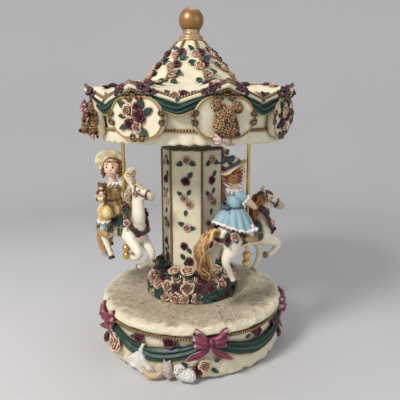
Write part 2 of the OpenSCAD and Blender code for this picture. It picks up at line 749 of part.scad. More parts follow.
// Rope beading along the ribs, round the eave and round the wall
module canopy_rope() {
    out = 0.6;
    color("darkgoldenrod") {
        for (i = [0:sectors - 1]) rotate([0, 0, canopy_turn + i * sector]) {
            strut([tip_r - 1, 0, roof_z - 0.8], [tent_r, 0, tent_z + out], rope_r);
            for (s = [-1, 1]) let (a = [tent_r, 0, tent_z + out],
                b = lift(pol(eave_r - 4, s * sector / 2), eave_z + out + 1))
                strut(mix(a, b, 0.05), mix(a, b, 0.95), rope_r);
        }
        translate([0, 0, canopy_z + rope_line]) rotate_extrude()
            translate([canopy_r + wall_lean, 0]) circle(rope_r, $fn = 16);
    }
}

module canopy_swag() {
    n = sectors * 10;
    color("darkgreen") garland([for (i = [0:n - 1]) let (
        a = canopy_turn + i * 360 / n, t = abs((i % 10) / 5 - 1), r = mix(eave_r - 2, peak_r - 5, t))
        [r * cos(a), r * sin(a), mix(eave_z - 8.5, peak_z - 8, t)]], 2.2, 4.2);
}

// A medallion plaque: a rounded panel with a raised rim
module plaque() {
    for (s = [0, 1]) translate([0, 0, s * 4.6]) linear_extrude(s == 0 ? 5 : 1.2) difference() {
        union() {
            for (m = [-1, 1]) translate([m * medal_half, 0]) circle(medal_r);
            square([2 * medal_half, 2 * medal_r], center = true);
        }
        if (s == 1) union() {
            for (m = [-1, 1]) translate([m * medal_half, 0]) circle(medal_r - 1.3);
            square([2 * medal_half, 2 * medal_r - 2.6], center = true);
        }
    }
}

module on_wall(i) { outward(medal_face - 5, canopy_turn + i * sector, medal_z, -medal_lean) children(); }

module medallions() { color("cornsilk") for (i = [0:sectors - 1]) on_wall(i) plaque(); }

// The bouquet on every second medallion
module medallion_roses() {
    color("maroon") for (i = [1:2:sectors - 1]) on_wall(i) translate([0, 0, 4.6]) {
        for (p = [[-4.5, 6, 5], [4, 1.5, 4.6], [-5.5, -4.5, 3.8], [2, -7, 3.8]])
            translate([p[0], p[1], 0]) rose(p[2]);
        for (p = [[-10, 5, 130], [9, 3, 50], [-9, -7, 200], [6.2, -8.5, -40]])
            translate([p[0], p[1], 0]) rotate([0, 0, p[2]]) leaf(8, 1.4);
    }
}

// A bear's head in relief, looking out and down
module bear() {
    k = bear_l / 31;
    scale(k) {
        hull() {
            translate([-1, 3, 5]) sphere(10.5, $fn = 12);
            translate([2, -4, 7.5]) sphere(8.5, $fn = 10);
        }
        hull() {
            translate([2.5, -5, 10]) sphere(5.6, $fn = 8);
            translate([4.5, -9, 16.5]) sphere(3.4, $fn = 8);
        }
        for (s = [-1, 1]) translate([s * 9.5 - 0.5, 12, 4]) sphere(4, $fn = 8);
        for (s = [-1, 1]) hull() {
            translate([1, -12.5, 5]) sphere(2, $fn = 6);
            translate([1 + s * 7, -13.5, 5]) sphere(3, $fn = 6);
        }
    }
}

module bear_heads() { color("peru") for (i = [0:2:sectors - 1]) on_wall(i) translate([0, 0, 2]) bear(); }

// Flowers on the roof, for each sector: [radius, share of the height from eave to tip, angle, size]
module on_roof(s, f, side = 0) {
    // f runs down a rib from the tip (0) to the tent's foot (1) and on along the ridge to the gable (2)
    r = f <= 1 ? mix(tip_r, tent_r, f) : mix(tent_r, peak_r, f - 1);
    z = f <= 1 ? mix(roof_z, tent_z, f) : mix(tent_z, peak_z, f - 1);
    tilt = f <= 1 ? 40 : 85;
    rotate([0, 0, canopy_turn + s * sector]) translate([r, side, z - 0.6 - abs(side) * 0.28]) rotate([0, 90 - tilt, 0])
        rotate([0, 0, 90]) children();
}

module at_low(s, side, up) {
    rotate([0, 0, canopy_turn + (s + 0.5) * sector]) translate([eave_r - 8 - up, side, eave_z + 1.2 + up * 0.32])
        rotate([0, 18, 0]) rotate([0, 0, 90]) children();
}

module canopy_roses() {
    color("maroon") for (s = [0:sectors - 1]) {
        on_roof(s, 0.3, 2) rose(3.6);
        on_roof(s, 0.62, -2.4) rose(3.8);
        on_roof(s, 0.78, 3.2) rose(3.6);
        on_roof(s, 1.25) rose(3.4);
        on_roof(s, 1.6) rose(3.6);
        on_roof(s, 1.88) rose(4);
        at_low(s, 4, 1) rose(3.3);
        at_low(s, -3.4, -1) rose(3.3);
    }
}

module canopy_leaves() {
    color("darkgreen") for (s = [0:sectors - 1]) {
        on_roof(s, 0.46, 4) rotate([0, 0, 40]) leaf(7, 1.4);
        on_roof(s, 0.5, -6) rotate([0, 0, 200]) leaf(7, 1.4);
        on_roof(s, 0.96, 6) rotate([0, 0, -30]) leaf(7, 1.4);
        at_low(s, 8, 3) rotate([0, 0, 150]) leaf(6, 1.4);
    }
}

module finial_collar() {
    color("burlywood") translate([0, 0, roof_z]) difference() {
        rotate_extrude() polygon([[0, 0], [collar_r, 0], [collar_r, collar_h * 0.55], [collar_r - 1.2, collar_h],
            [0, collar_h]]);
        translate([0, 0, -1]) cylinder(collar_h + 2, shaft_r, shaft_r);
    }
}

module finial() {
    z = roof_z + collar_h;
    color("peru") difference() {
        union() {
            translate([0, 0, z]) cylinder(neck_h, neck_r + 1.2, neck_r);
            translate([0, 0, ball_z]) sphere(ball_r);
        }
        translate([0, 0, z - 1]) cylinder(neck_h + 1, shaft_r, shaft_r);
        translate([0, 0, z - 20]) cylinder(20, 30, 30);
    }
}

// ---- Horses and riders ----

// How far each horse is turned on its rod from the way the carousel turns, towards the column
horse_turns = [25, -16, 6];

// Stands a figure on ride place i; local +X is forward, +Y towards the column
module mount(i) {
    rotate([0, 0, ride_turn + i * 360 / riders]) translate([ride_r, 0, horse_z])
        rotate([0, 0, 90 + horse_turns[i]]) children();
}

module rod_hole() { cylinder(2 * rod_top, rod_r / cos(180 / 24), rod_r / cos(180 / 24), center = true, $fn = 24); }

// Turns a figure's upper part about the upright line through p
module swivel(p, a) { translate(p) rotate([0, 0, a]) translate(-p) children(); }

module horse(head_turn) {
    color("ivory") difference() {
        scale(horse_k) {
            limb([[[-18, 0, 1], 12], [[0, 0, -1], 10.8], [[16, 0, 1], 11.6]], 12);
            limb([[[18, 0, 5], 9.5], [[24, 0, 18], 7.2], [[25, 0, 28], 6]], 10);
            swivel([25, 0, 30], head_turn) {
                limb([[[24.5, 0, 32], 6.2], [[32, 0, 31], 5], [[41, 0, 27.5], 4]], 10);
                for (s = [-1, 1]) limb([[[23, s * 3.4, 37], 2], [[22, s * 4, 43.5], 0.8]], 6);
            }
            limb([[[22, 0, 40], 2.4], [[15, 0, 30], 4], [[11, 0, 16], 3.4]], 8);
            limb([[[15, 6, -5], 6.5], [[32, 7, -20], 4], [[26, 7, -34], 2.7], [[18, 7, -39], 3]], 8);
            limb([[[15, -6, -5], 6.5], [[29, -7, -14], 4], [[20, -7, -24], 2.7], [[13, -7, -24], 3]], 8);
            for (s = [-1, 1]) limb([[[-20, s * 5, -3], 9], [[-29, s * 7, -20 + s * 2], 4],
                [[-23, s * 7, -33 + s * 3], 2.7], [[-20, s * 7, -38 + s * 4], 3]], 8);
            limb([[[-27, 0, 6], 4], [[-36, 0, -4], 5], [[-37, 0, -22], 4.5], [[-32, 0, -32], 2]], 8);
        }
        rod_hole();
    }
}

module saddle() {
    color("darkslategray") difference() {
        scale(horse_k) {
            intersection() {
                limb([[[-18, 0, 1], 13], [[0, 0, -0.4], 12], [[16, 0, 1], 12.6]], 16);
                translate([-12, -15, -9]) cube([22, 30, 30]);
            }
            translate([17.5, 0, 3]) rotate([0, 24, 0]) rotate_extrude($fn = 20) translate([10.4, 0])
                circle(1.9, $fn = 8);
        }
        rod_hole();
    }
}

// A seated child: torso, head, hat, arms and legs; lean is the seat's place behind and beside the rod
module rider(seat, head_turn, brim, skirt) {
    k = rider_h / 62;
    color("lightblue") difference() {
        translate(seat * horse_k) scale(k) {
            limb([[[0, 0, 4], 10.5], [[0.5, 0, 16], 8.4], [[1, 0, 30], 6.4]], 10);
            translate([1, 0, 45]) sphere(8.6, $fn = 12);
            swivel([1, 0, 45], head_turn) {
                hull() {
                    translate([-4, 0, 51]) sphere(8, $fn = 10);
                    translate([-8, 0, 46]) sphere(6.5, $fn = 8);
                }
                hull() for (a = [0:60:300]) translate([-2 + brim * cos(a), brim * sin(a), 51.5 - 2 * cos(a)])
                    sphere(1, $fn = 6);
            }
            for (s = [-1, 1]) {
                limb([[[1, s * 7, 28], 3.4], [[5, s * 11, 19], 3], [[12, s * 7, 15], 2.4]], 8);
                limb([[[3, s * 8, 2], 5.5], [[10, s * 14.5, -5], 4.2], [[6, s * 15.5, -17], 3.2],
                    [[10, s * 15.5, -20], 3]], 8);
            }
            if (skirt > 0) hull() {
                translate([0, 0, 8]) sphere(8, $fn = 10);
                for (s = [-1, 1]) translate([6, s * skirt, -2]) sphere(3, $fn = 8);
                translate([-9, 0, 2]) sphere(5, $fn = 10);
            }
        }
        rod_hole();
    }
}

// Seat of each rider relative to the rod, turn of the horse's and the rider's heads, hat brim, skirt
seats = [[-14, -4, 11], [-15.5, 0, 11], [-15.5, 0, 11]];
horse_look = [14, -6, 8];
rider_look = [-50, 12, 15];
brims = [12, 12.5, 12];
skirts = [0, 14, 0];

module horse_1() { mount(0) horse(horse_look[0]); }
module horse_2() { mount(1) horse(horse_look[1]); }
module horse_3() { mount(2) horse(horse_look[2]); }
module saddle_1() { mount(0) saddle(); }
module saddle_2() { mount(1) saddle(); }
module saddle_3() { mount(2) saddle(); }
module rider_1() { mount(0) rider(seats[0], rider_look[0], brims[0], skirts[0]); }
module rider_2() { mount(1) rider(seats[1], rider_look[1], brims[1], skirts[1]); }
module rider_3() { mount(2) rider(seats[2], rider_look[2], brims[2], skirts[2]); }

module horse_rods() {
    color("gold") for (i = [0:riders - 1]) rotate([0, 0, ride_turn + i * 360 / riders]) translate([ride_r, 0, 0]) {
        translate([0, 0, lower_ball_z]) cylinder(rod_top - lower_ball_z, rod_r, rod_r);
        translate([0, 0, floor_z + floor_t]) cylinder(2.4, 3.4, 3.4, $fn = 6);
    }
}

module rod_balls() {
    color("gold") for (i = [0:riders - 1]) rotate([0, 0, ride_turn + i * 360 / riders]) translate([ride_r, 0, 0])
        for (z = [lower_ball_z, upper_ball_z]) difference() {
            translate([0, 0, z]) sphere(rod_ball_r);
            translate([0, 0, lower_ball_z]) cylinder(rod_ball_r * 4, rod_r, rod_r);
        }
}

base_shell();
base_deck();
base_rope();
base_swag();
base_bows();
base_roses();
base_leaves();
base_figures();
felt_feet();
bottom_plate();
bottom_screws();
rose_heap();
heap_roses_burgundy();
heap_roses_peach();
heap_leaves();
column();
column_cap();
column_rope();
column_roses();
column_leaves();
column_bush();
movement_bedplate();
movement_screws();
barrel_bridge();
comb();
cylinder_posts();
governor_frame();
ratchet_click();
winding_key();
key_arbor();
pinned_cylinder();
governor_wheel();
governor_fly();
spring_barrel();
mainspring();
drive_shaft();
canopy_hub();
canopy_floor();
canopy_shell();
canopy_rope();
canopy_swag();
medallions();
medallion_roses();
bear_heads();
canopy_roses();
canopy_leaves();
finial_collar();
finial();
horse_rods();
rod_balls();
horse_1();
saddle_1();
rider_1();
horse_2();
saddle_2();
rider_2();
horse_3();
saddle_3();
rider_3();
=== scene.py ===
"""Builds the visible surfaces of a wind-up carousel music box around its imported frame.

Lengths inside the building functions are millimetres; Modeller.to_object turns them into metres.
A wall place has its own axes: x to the right, y up and z away from the wall, seen from outside.
"""

import math

import bmesh
import bpy
import numpy as np
from mathutils import Matrix, Vector, noise


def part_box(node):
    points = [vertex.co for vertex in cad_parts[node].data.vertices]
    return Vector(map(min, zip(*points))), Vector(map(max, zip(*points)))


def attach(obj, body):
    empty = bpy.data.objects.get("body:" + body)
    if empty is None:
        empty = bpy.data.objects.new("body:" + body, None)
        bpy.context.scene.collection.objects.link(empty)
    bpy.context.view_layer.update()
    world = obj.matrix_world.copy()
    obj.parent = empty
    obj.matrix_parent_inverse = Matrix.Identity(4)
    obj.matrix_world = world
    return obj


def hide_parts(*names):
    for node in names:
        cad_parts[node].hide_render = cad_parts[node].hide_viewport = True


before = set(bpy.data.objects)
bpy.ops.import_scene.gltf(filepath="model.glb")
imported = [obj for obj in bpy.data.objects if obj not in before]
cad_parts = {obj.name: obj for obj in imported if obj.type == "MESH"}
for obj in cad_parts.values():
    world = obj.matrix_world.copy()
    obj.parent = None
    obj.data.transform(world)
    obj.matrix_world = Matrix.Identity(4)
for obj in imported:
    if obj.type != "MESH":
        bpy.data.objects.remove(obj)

bl_info = {
    "name": "Carousel Music Box",
    "version": (1, 0, 0),
    "blender": (4, 5, 0),
    "location": "View3D > Sidebar > Carousel",
    "description": "Builds the painted figures, flowers and trim of a wind-up carousel",
    "category": "Object",
}

MM = 0.001
TAU = 2 * math.pi
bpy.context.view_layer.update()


def node_mm(node):
    """Lowest and highest corner of a frame node, in millimetres."""
    low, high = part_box(node)
    return np.array(low) / MM, np.array(high) / MM


def outer_radius(node):
    """Largest reach of a frame node from the turning axis, in millimetres."""
    points = np.array([v.co[:2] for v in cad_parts[node].data.vertices]) / MM
    return float(np.hypot(points[:, 0], points[:, 1]).max())


DECK_TOP = node_mm("base_deck")[1][2]
WALL_TOP = node_mm("base_shell")[1][2]
WALL_FOOT = node_mm("base_shell")[0][2]
RECESS_TOP = node_mm("bottom_plate")[1][2]
RECESS_R = node_mm("bottom_plate")[1][0] + 0.3
COLUMN_TOP = node_mm("column_cap")[1][2]
HEAP_TOP = node_mm("rose_heap")[1][2]
HEAP_R = outer_radius("rose_heap")
CANOPY_Z = node_mm("canopy_shell")[0][2]
ROOF_Z = node_mm("canopy_shell")[1][2]
PEAK_R = outer_radius("canopy_shell")

SECTORS = 8
SECTOR = 360 / SECTORS
CANOPY_TURN = 17.5
COLUMN_TURN = 49.5
COLUMN_R = 29.5
COLUMN_FACE = COLUMN_R * math.cos(math.radians(30))
EAVE_R = PEAK_R - 7
EAVE_Z = ROOF_Z - 53.5
PEAK_Z = EAVE_Z + 12
TENT_R = 46
TENT_Z = EAVE_Z + 15.5
TIP_R = 13
CANOPY_R = 82
ROPE_LINE = CANOPY_Z + 14
MEDAL_Z = CANOPY_Z + 23.5
MEDAL_R = CANOPY_R + 7.5
BASE_R = 85
BOWS = 5
BOW_STEP = 360 / BOWS
BOW_TURN = 281
BOW_Z = DECK_TOP - 13
RIDE_R = 66
RIDE_TURN = 199.5
HORSE_Z = 118
CURL_SEED = 5


def colour_prop(text, value):
    return bpy.props.FloatVectorProperty(
        name=text, description=f"Colour of {text.lower()}", subtype="COLOR", size=3, min=0, max=1,
        default=value)


def length_prop(text, value, description):
    """A length in metres, given here in millimetres."""
    return bpy.props.FloatProperty(
        name=text, description=description, unit="LENGTH", subtype="DISTANCE", min=0, default=value * MM)


class CarouselPaints(bpy.types.PropertyGroup):
    """Colours of the painted and metal finishes."""
    cream: colour_prop("Cream resin", (0.77, 0.705, 0.525))
    stone: colour_prop("Deck cloth", (0.47, 0.39, 0.28))
    # Dark colour of the antique wash, which also serves as painted shade in hollows and between parts
    wash_shade: colour_prop("Antique wash and painted shade", (0.16, 0.085, 0.03))
    trim_gold: colour_prop("Rope trim", (0.42, 0.27, 0.1))
    swag_green: colour_prop("Green swag", (0.008, 0.045, 0.032))
    leaf_green: colour_prop("Leaves", (0.01, 0.042, 0.034))
    burgundy: colour_prop("Dark roses", (0.085, 0.01, 0.024))
    peach: colour_prop("Pale roses", (0.62, 0.3, 0.18))
    ribbon: colour_prop("Ribbon bows", (0.2, 0.032, 0.065))
    # Pale pink of the ribbons' loop ends and edges, partly painted rims and partly a painted highlight on the
    # satin
    ribbon_edge: colour_prop("Ribbon edges", (0.72, 0.42, 0.42))
    # Dark base of the fur, partly painted shade between the tufts, and its golden tips, partly a painted
    # highlight
    fur: colour_prop("Bear fur", (0.16, 0.065, 0.018))
    fur_tip: colour_prop("Fur tips", (0.74, 0.53, 0.27))
    ivory: colour_prop("Horse coat", (0.8, 0.74, 0.6))
    finial: colour_prop("Finial ball", (0.4, 0.22, 0.09))
    collar: colour_prop("Finial collar", (0.58, 0.38, 0.2))
    brass: colour_prop("Brass", (0.72, 0.5, 0.19))
    steel: colour_prop("Steel", (0.62, 0.62, 0.63))


class CarouselSizes(bpy.types.PropertyGroup):
    """Sizes that are free to change without touching the frame."""
    heap_rose: length_prop("Heap rose", 6.0, "Radius of the roses on the heap")
    rope: length_prop("Rope trim", 1.45, "Radius of the rope trim")
    swag_depth: length_prop("Swag depth", 3.1, "How far a swag stands out from its wall")
    bow_width: length_prop("Bow width", 34, "Width of a ribbon bow on the base")
    skin: length_prop("Skin grain", 0.75, "Grain at which a modelled figure is fused into one skin")


def paints():
    return bpy.context.scene.carousel_paints


def size_mm(name):
    return getattr(bpy.context.scene.carousel_sizes, name) / MM


# ---- Modelling helpers ----

def spin(count):
    """Angles of one whole turn in even steps."""
    return np.arange(count) * TAU / count


def whole_turn(count):
    """Degrees of one whole turn in even steps."""
    return np.arange(count) * 360 / count


def xyz(x, y, z):
    """Points from grids of x, y and z."""
    return np.stack(np.broadcast_arrays(x, y, z), -1)


def oval(angle, rx, ry, z):
    return xyz(rx * np.cos(angle), ry * np.sin(angle), z)


def unit(v):
    v = np.asarray(v, float)
    return v / np.maximum(np.linalg.norm(v, axis=-1, keepdims=True), 1e-9)


def polar(radius, degrees, z):
    return oval(np.radians(degrees), radius, radius, z)


def mix(a, b, t):
    return a + (b - a) * t


def smooth(t):
    t = np.clip(t, 0, 1)
    return t * t * (3 - 2 * t)


def lumps(points, size, seed=0.0, depth=2):
    """Smooth noise from -1 to 1 at each point; size is the width of a lump."""
    flat = np.asarray(points, float).reshape(-1, 3) / size + seed * 7.31
    values = [noise.fractal(Vector(p), 1.0, 2.1, depth) for p in flat]
    return np.array(values).reshape(np.asarray(points).shape[:-1])


class Place:
    """A spot on the object with its own axes, for putting small modelled parts on it."""

    def __init__(self, origin, right, up, out):
        self.origin = np.asarray(origin, float)
        self.axes = np.array([right, up, out], float)

    @classmethod
    def on_wall(cls, radius, degrees, z, lean=0.0, turn=0.0):
        """A spot facing outwards; lean tips it to the sky, turn spins it about its own normal."""
        a, l, s = math.radians(degrees), math.radians(lean), math.radians(turn)
        out = np.array([math.cos(a) * math.cos(l), math.sin(a) * math.cos(l), math.sin(l)])
        right = np.array([-math.sin(a), math.cos(a), 0.0])
        spun = right * math.cos(s) + np.cross(out, right) * math.sin(s)
        return cls(polar(radius, degrees, z), spun, np.cross(out, spun), out)

    @classmethod
    def facing(cls, origin, out):
        """A spot whose z axis is out and whose x axis is level."""
        out = unit(out)
        right = unit(np.cross([0, 0, 1], out)) if abs(out[2]) < 0.98 else np.array([1.0, 0, 0])
        return cls(origin, right, np.cross(out, right), out)

    def put(self, points):
        return self.origin + np.asarray(points, float) @ self.axes

    def aim(self, way):
        """A direction along the place's own axes."""
        return self.put(way) - self.origin

    def shifted(self, x=0.0, y=0.0, z=0.0, turn=0.0):
        s = math.radians(turn)
        right = self.axes[0] * math.cos(s) + self.axes[1] * math.sin(s)
        return Place(self.put([x, y, z]), right, np.cross(self.axes[2], right), self.axes[2])


class Modeller:
    """Gathers surface patches and makes them one object. Each vertex has a height mark (0 in a hollow,
    1 on a raised edge) and a tone (0 to 1, one value for each petal, leaf or strand)."""

    def __init__(self):
        self.points, self.quads, self.tris, self.mark, self.tone = [], [], [], [], []
        self.count = 0

    def add(self, points, faces, mark=0.0, tone=0.5):
        points = np.asarray(points, float).reshape(-1, 3)
        faces = np.asarray(faces, int)
        self.points.append(points)
        (self.quads if faces.shape[1] == 4 else self.tris).append(faces + self.count)
        for values, given in ((self.mark, mark), (self.tone, tone)):
            values.append(np.broadcast_to(np.ravel(given), len(points)))
        self.count += len(points)

    def patch(self, grid, wrap_u=False, wrap_v=False, mark=0.0, tone=0.5, cap=False):
        """A grid of points (u, v, 3); wrap closes it on itself, cap closes both ends of u with a fan."""
        grid = np.asarray(grid, float)
        nu, nv = grid.shape[:2]
        index = np.arange(nu * nv).reshape(nu, nv)
        u0 = index if wrap_u else index[:-1]
        u1 = np.roll(index, -1, 0) if wrap_u else index[1:]
        pairs = (np.roll(u0, -1, 1), np.roll(u1, -1, 1)) if wrap_v else (u0[:, 1:], u1[:, 1:])
        a, b = (u0, u1) if wrap_v else (u0[:, :-1], u1[:, :-1])
        faces = np.stack([a, b, pairs[1], pairs[0]], -1).reshape(-1, 4)
        start = self.count
        self.add(grid, faces, mark, tone)
        if cap:
            for ring, end in ((index[0], 0), (index[-1][::-1], -1)):
                self.points.append(grid.reshape(-1, 3)[ring].mean(0)[None])
                self.mark.append(np.ravel(mark)[[end]])
                self.tone.append(np.ravel(tone)[[end]])
                self.tris.append(xyz(ring + start, self.count, np.roll(ring + start, -1)))
                self.count += 1

    def strip(self, grid, **levels):
        """A closed section swept along u, with both ends closed."""
        self.patch(grid, wrap_v=True, cap=True, **levels)

    def lathe(self, rows, mark=0.0, step=-1):
        """A closed profile of rings; step -1 turns the order of the points in each ring."""
        mark = mark.T[::step] if np.ndim(mark) else mark
        self.patch(rows.transpose(1, 0, 2)[::step], wrap_u=True, wrap_v=True, mark=mark)

    def to_object(self, name, material, body="carousel", replaces=(), slot=None):
        """Makes the object, gives it its material, and lets it ride on its body."""
        points = np.concatenate(self.points) * MM
        mesh = bpy.data.meshes.new(name)
        faces = [f.tolist() for group in (self.quads, self.tris) for part in group for f in part]
        mesh.from_pydata(points.tolist(), [], faces)
        for label, values in (("height_mark", self.mark), ("tone", self.tone)):
            layer = mesh.attributes.new(label, "FLOAT", "POINT")
            layer.data.foreach_set("value", np.concatenate(values).astype(np.float32))
        shell = bmesh.new()
        shell.from_mesh(mesh)
        bmesh.ops.recalc_face_normals(shell, faces=shell.faces)
        shell.to_mesh(mesh)
        shell.free()
        mesh.polygons.foreach_set("use_smooth", np.full(len(mesh.polygons), True))
        mesh.update()
        made = bpy.data.objects.new(name, mesh)
        bpy.context.scene.collection.objects.link(made)
        if body:
            mesh.materials.append(material)
            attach(made, body)
        if replaces:
            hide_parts(replaces)
        return made


def repaint(node, material):
    """A frame node whose shape is right keeps it and gets a better material."""
    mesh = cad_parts[node].data
    mesh.materials.clear()
    mesh.materials.append(material)


def distances(path):
    """Distance along a path at each of its points."""
    return np.concatenate([[0], np.cumsum(np.linalg.norm(np.diff(path, axis=0), axis=1))])


def tube(model, path, radius, around=8, closed=False, twist=None, mark=0.0, tone=0.5, up=(0, 0, 1), flat=1.0):
    """Sweeps a round section along a path; radius may change from point to point.
    twist = (pitch, depth) cuts it into slanting beads, and flat widens it along the direction up."""
    path = np.asarray(path, float)
    count = len(path)
    radius = np.broadcast_to(radius, count)
    step = np.roll(path, -1, 0) - np.roll(path, 1, 0)
    if not closed:
        step[0], step[-1] = path[1] - path[0], path[-1] - path[-2]
    ahead = unit(step)
    side = unit(np.cross(ahead, np.broadcast_to(up, ahead.shape)) + 1e-6)
    lift = np.cross(side, ahead)
    angle = spin(around)
    swell = np.ones((count, around))
    if twist:
        pitch, depth = twist
        wave = np.abs(np.cos(0.7 * np.sin(angle) - math.pi * distances(path)[:, None] / pitch)) ** 0.75
        swell = 1 - depth + depth * wave
        # Height mark of the beads: high on each bead, low in the grooves, where the rope's dark base shows as
        # painted shade
        mark = wave
    section = side[:, None] * np.cos(angle)[:, None] + flat * lift[:, None] * np.sin(angle)[:, None]
    grid = path[:, None] + (radius[:, None] * swell)[..., None] * section
    model.patch(grid, wrap_u=closed, wrap_v=True, mark=mark, tone=tone, cap=not closed)


def bezier(points, count):
    """A smooth curve through a list of points."""
    points = np.asarray(points, float)
    padded = np.vstack([2 * points[0] - points[1], points, 2 * points[-1] - points[-2]])
    out = []
    spans = len(points) - 1
    for t in np.linspace(0, spans, count):
        i = min(int(t), spans - 1)
        f = t - i
        a, b, c, d = padded[i:i + 4]
        square = (2 * a - 5 * b + 4 * c - d) * f * f
        out.append(0.5 * (2 * b + (c - a) * f + square + (3 * b - a - 3 * c + d) * f ** 3))
    return np.array(out)


def rope(model, path, radius=None, closed=False):
    """A beaded cord along a path, cut into even steps."""
    path = np.asarray(path, float)
    if closed:
        path = np.vstack([path, path[:1]])
    lengths = distances(path)
    count = max(4, int(lengths[-1] / 0.42))
    even = np.stack([np.interp(np.linspace(0, lengths[-1], count), lengths, path[:, k]) for k in range(3)], 1)
    if closed:
        even = even[:-1]
    tube(model, even, radius or size_mm("rope"), around=10, closed=closed, twist=(2.4, 0.68))


# ---- Flowers and ribbons, modelled at a place ----

def petal(model, place, foot, lip, middle, half, tall, thick, steps, tone, tuck=0.0):
    """A curved petal with a rolled rim; foot and lip are its radii, tuck slides one side under the next."""
    t = np.linspace(-1, 1, steps)
    angle = middle + half * t
    arch = (1 - np.abs(t) ** 2.4) ** 0.55
    along = np.array([0.0, 0.4, 0.82, 1.0, 1.13, 1.0, 0.5, 0.1])
    rise = np.array([0.0, 0.55, 0.9, 1.0, 0.93, 0.78, 0.45, 0.0])
    outward = np.array([-0.5, -0.5, -0.5, 0.1, 0.6, 0.8, 0.6, 0.5])
    # Height mark along the petal, highest on the rolled rim where a rose's edge colour goes; on the dark
    # roses that is a painted highlight
    level = np.array([0.0, 0.2, 0.62, 1.0, 1.0, 0.5, 0.15, 0.0])
    rim = (lip * (1 + tuck * t) - foot)[:, None]
    reach = foot + rim * along * (0.55 + 0.45 * arch)[:, None] + thick * outward
    z = (tall * (0.35 + 0.65 * arch))[:, None] * rise
    curl = place.put(oval(angle[:, None], reach, reach, z))
    model.strip(curl, mark=np.broadcast_to(level, z.shape), tone=tone)


def rose(model, place, radius, seed=0, height=0.95):
    """A rose: a wound heart inside rings of overlapping petals, each with a rolled rim."""
    rng = np.random.default_rng(seed)
    tone, turn = rng.uniform(), rng.uniform(0, TAU)
    bed = place.shifted(z=-0.2 * radius)
    tall = radius * height * 1.12
    steps = 8 if radius > 3 else 6
    for count, foot, lip, high, width in ((5, 0.46, 0.99, 0.62, 0.8), (4, 0.4, 0.8, 0.8, 0.92)):
        turn += rng.uniform(0.4, 1.0)
        for k in range(count):
            reach, middle = radius * lip * rng.uniform(0.93, 1.05), turn + TAU * k / count
            petal(model, bed, radius * foot, reach, middle, width, tall * high * rng.uniform(0.93, 1.05),
                  radius * 0.085, steps, mix(tone, rng.uniform(), 0.25), 0.09)
    t = np.linspace(0, 1, 34) ** 0.8
    angle = turn + TAU * 2.1 * t
    reach = radius * (0.04 + 0.56 * t)
    section = np.array([[-0.5, 0.0], [-0.5, 0.7], [0.0, 1.0], [0.6, 0.96], [0.5, 0.0]])
    out = reach[:, None] + radius * 0.075 * section[None, :, 0]
    grid = oval(angle[:, None], out, out, tall * (0.98 - 0.1 * t)[:, None] * section[None, :, 1])
    # Height mark of the heart, highest on its rim; on the dark roses the rim colour is a painted highlight
    level = np.array([0.0, 0.4, 1.0, 0.8, 0.0])
    model.strip(bed.put(grid), mark=np.broadcast_to(level, grid.shape[:2]), tone=tone)
    fill, ring = np.linspace(0.05, 1, 5) * math.pi / 2, spin(12)
    bowl = oval(ring, np.sin(fill)[:, None], np.sin(fill)[:, None], np.cos(fill)[:, None])
    bowl = bowl * [radius, radius, tall] * [0.8, 0.8, 0.56]
    model.strip(bed.put(bowl), mark=0.0, tone=tone)


def leaf(model, place, length, seed=0, width=0.29, lift=0.2):
    """A pointed, toothed leaf along local x, folded up along its midrib, with side veins and a lifted tip."""
    rng = np.random.default_rng(seed + 991)
    u, v = np.linspace(0, 1, 15), np.linspace(-1, 1, 9)
    tooth = 1 + 0.09 * np.where(np.arange(15) % 2, 1, -1)
    half = length * width * np.sin(math.pi * u ** 0.78) ** 0.8 * tooth
    half[[0, -1]] = 0.05
    bend = rng.uniform(0.5, 1.4)
    vein = np.sin(24 * u[:, None] - 6 * np.abs(v))
    z = (0.1 * length + length * lift * bend * (u[:, None] ** 2) + 0.34 * half[:, None] * np.abs(v)
         - 0.1 * half[:, None] * v ** 4 * 3 + 0.022 * length * vein)
    top = xyz(u[:, None] * length, half[:, None] * v, z)
    under = top[:, ::-1] - [0, 0, 0.13 * length]
    # Height mark: highest on the midrib, the veins and the edges, where the leaf's paler green is partly a
    # painted highlight
    level = np.clip(1 - np.abs(v) * 5, 0, 1) * 0.6 + 0.6 * np.abs(v) ** 3 + 0.22 * (vein + 1)
    mark = np.hstack([level, 0 * level])
    model.strip(place.put(np.hstack([top, under])), mark=mark, tone=rng.uniform())


def ribbon(model, path, widths, across, thick, tone=0.5):
    """A flat band along a path; across gives its width direction at each point."""
    path, across = np.asarray(path, float), unit(across)
    ahead = unit(np.gradient(path, axis=0))
    face = unit(np.cross(ahead, across))
    v = np.linspace(-1, 1, 9)
    fold = 0.28 * np.cos(v * math.pi * 1.5)
    widths = np.broadcast_to(widths, len(path))
    raised = fold * widths[:, None] * 0.3 + thick / 2
    top = path[:, None] + across[:, None] * (widths[:, None] * v / 2)[..., None]
    top = top + face[:, None] * raised[..., None]
    under = top[:, ::-1] - face[:, None] * thick
    # Mark on the band's two edges, where a ribbon's edge colour goes; on the satin and plum ribbons it is
    # partly a painted highlight
    edge = np.broadcast_to(np.clip((np.abs(v) - 0.72) / 0.2, 0, 1), top.shape[:2])
    mark = np.hstack([edge, edge[:, ::-1]])
    model.strip(np.hstack([top, under]), mark=mark, tone=tone)


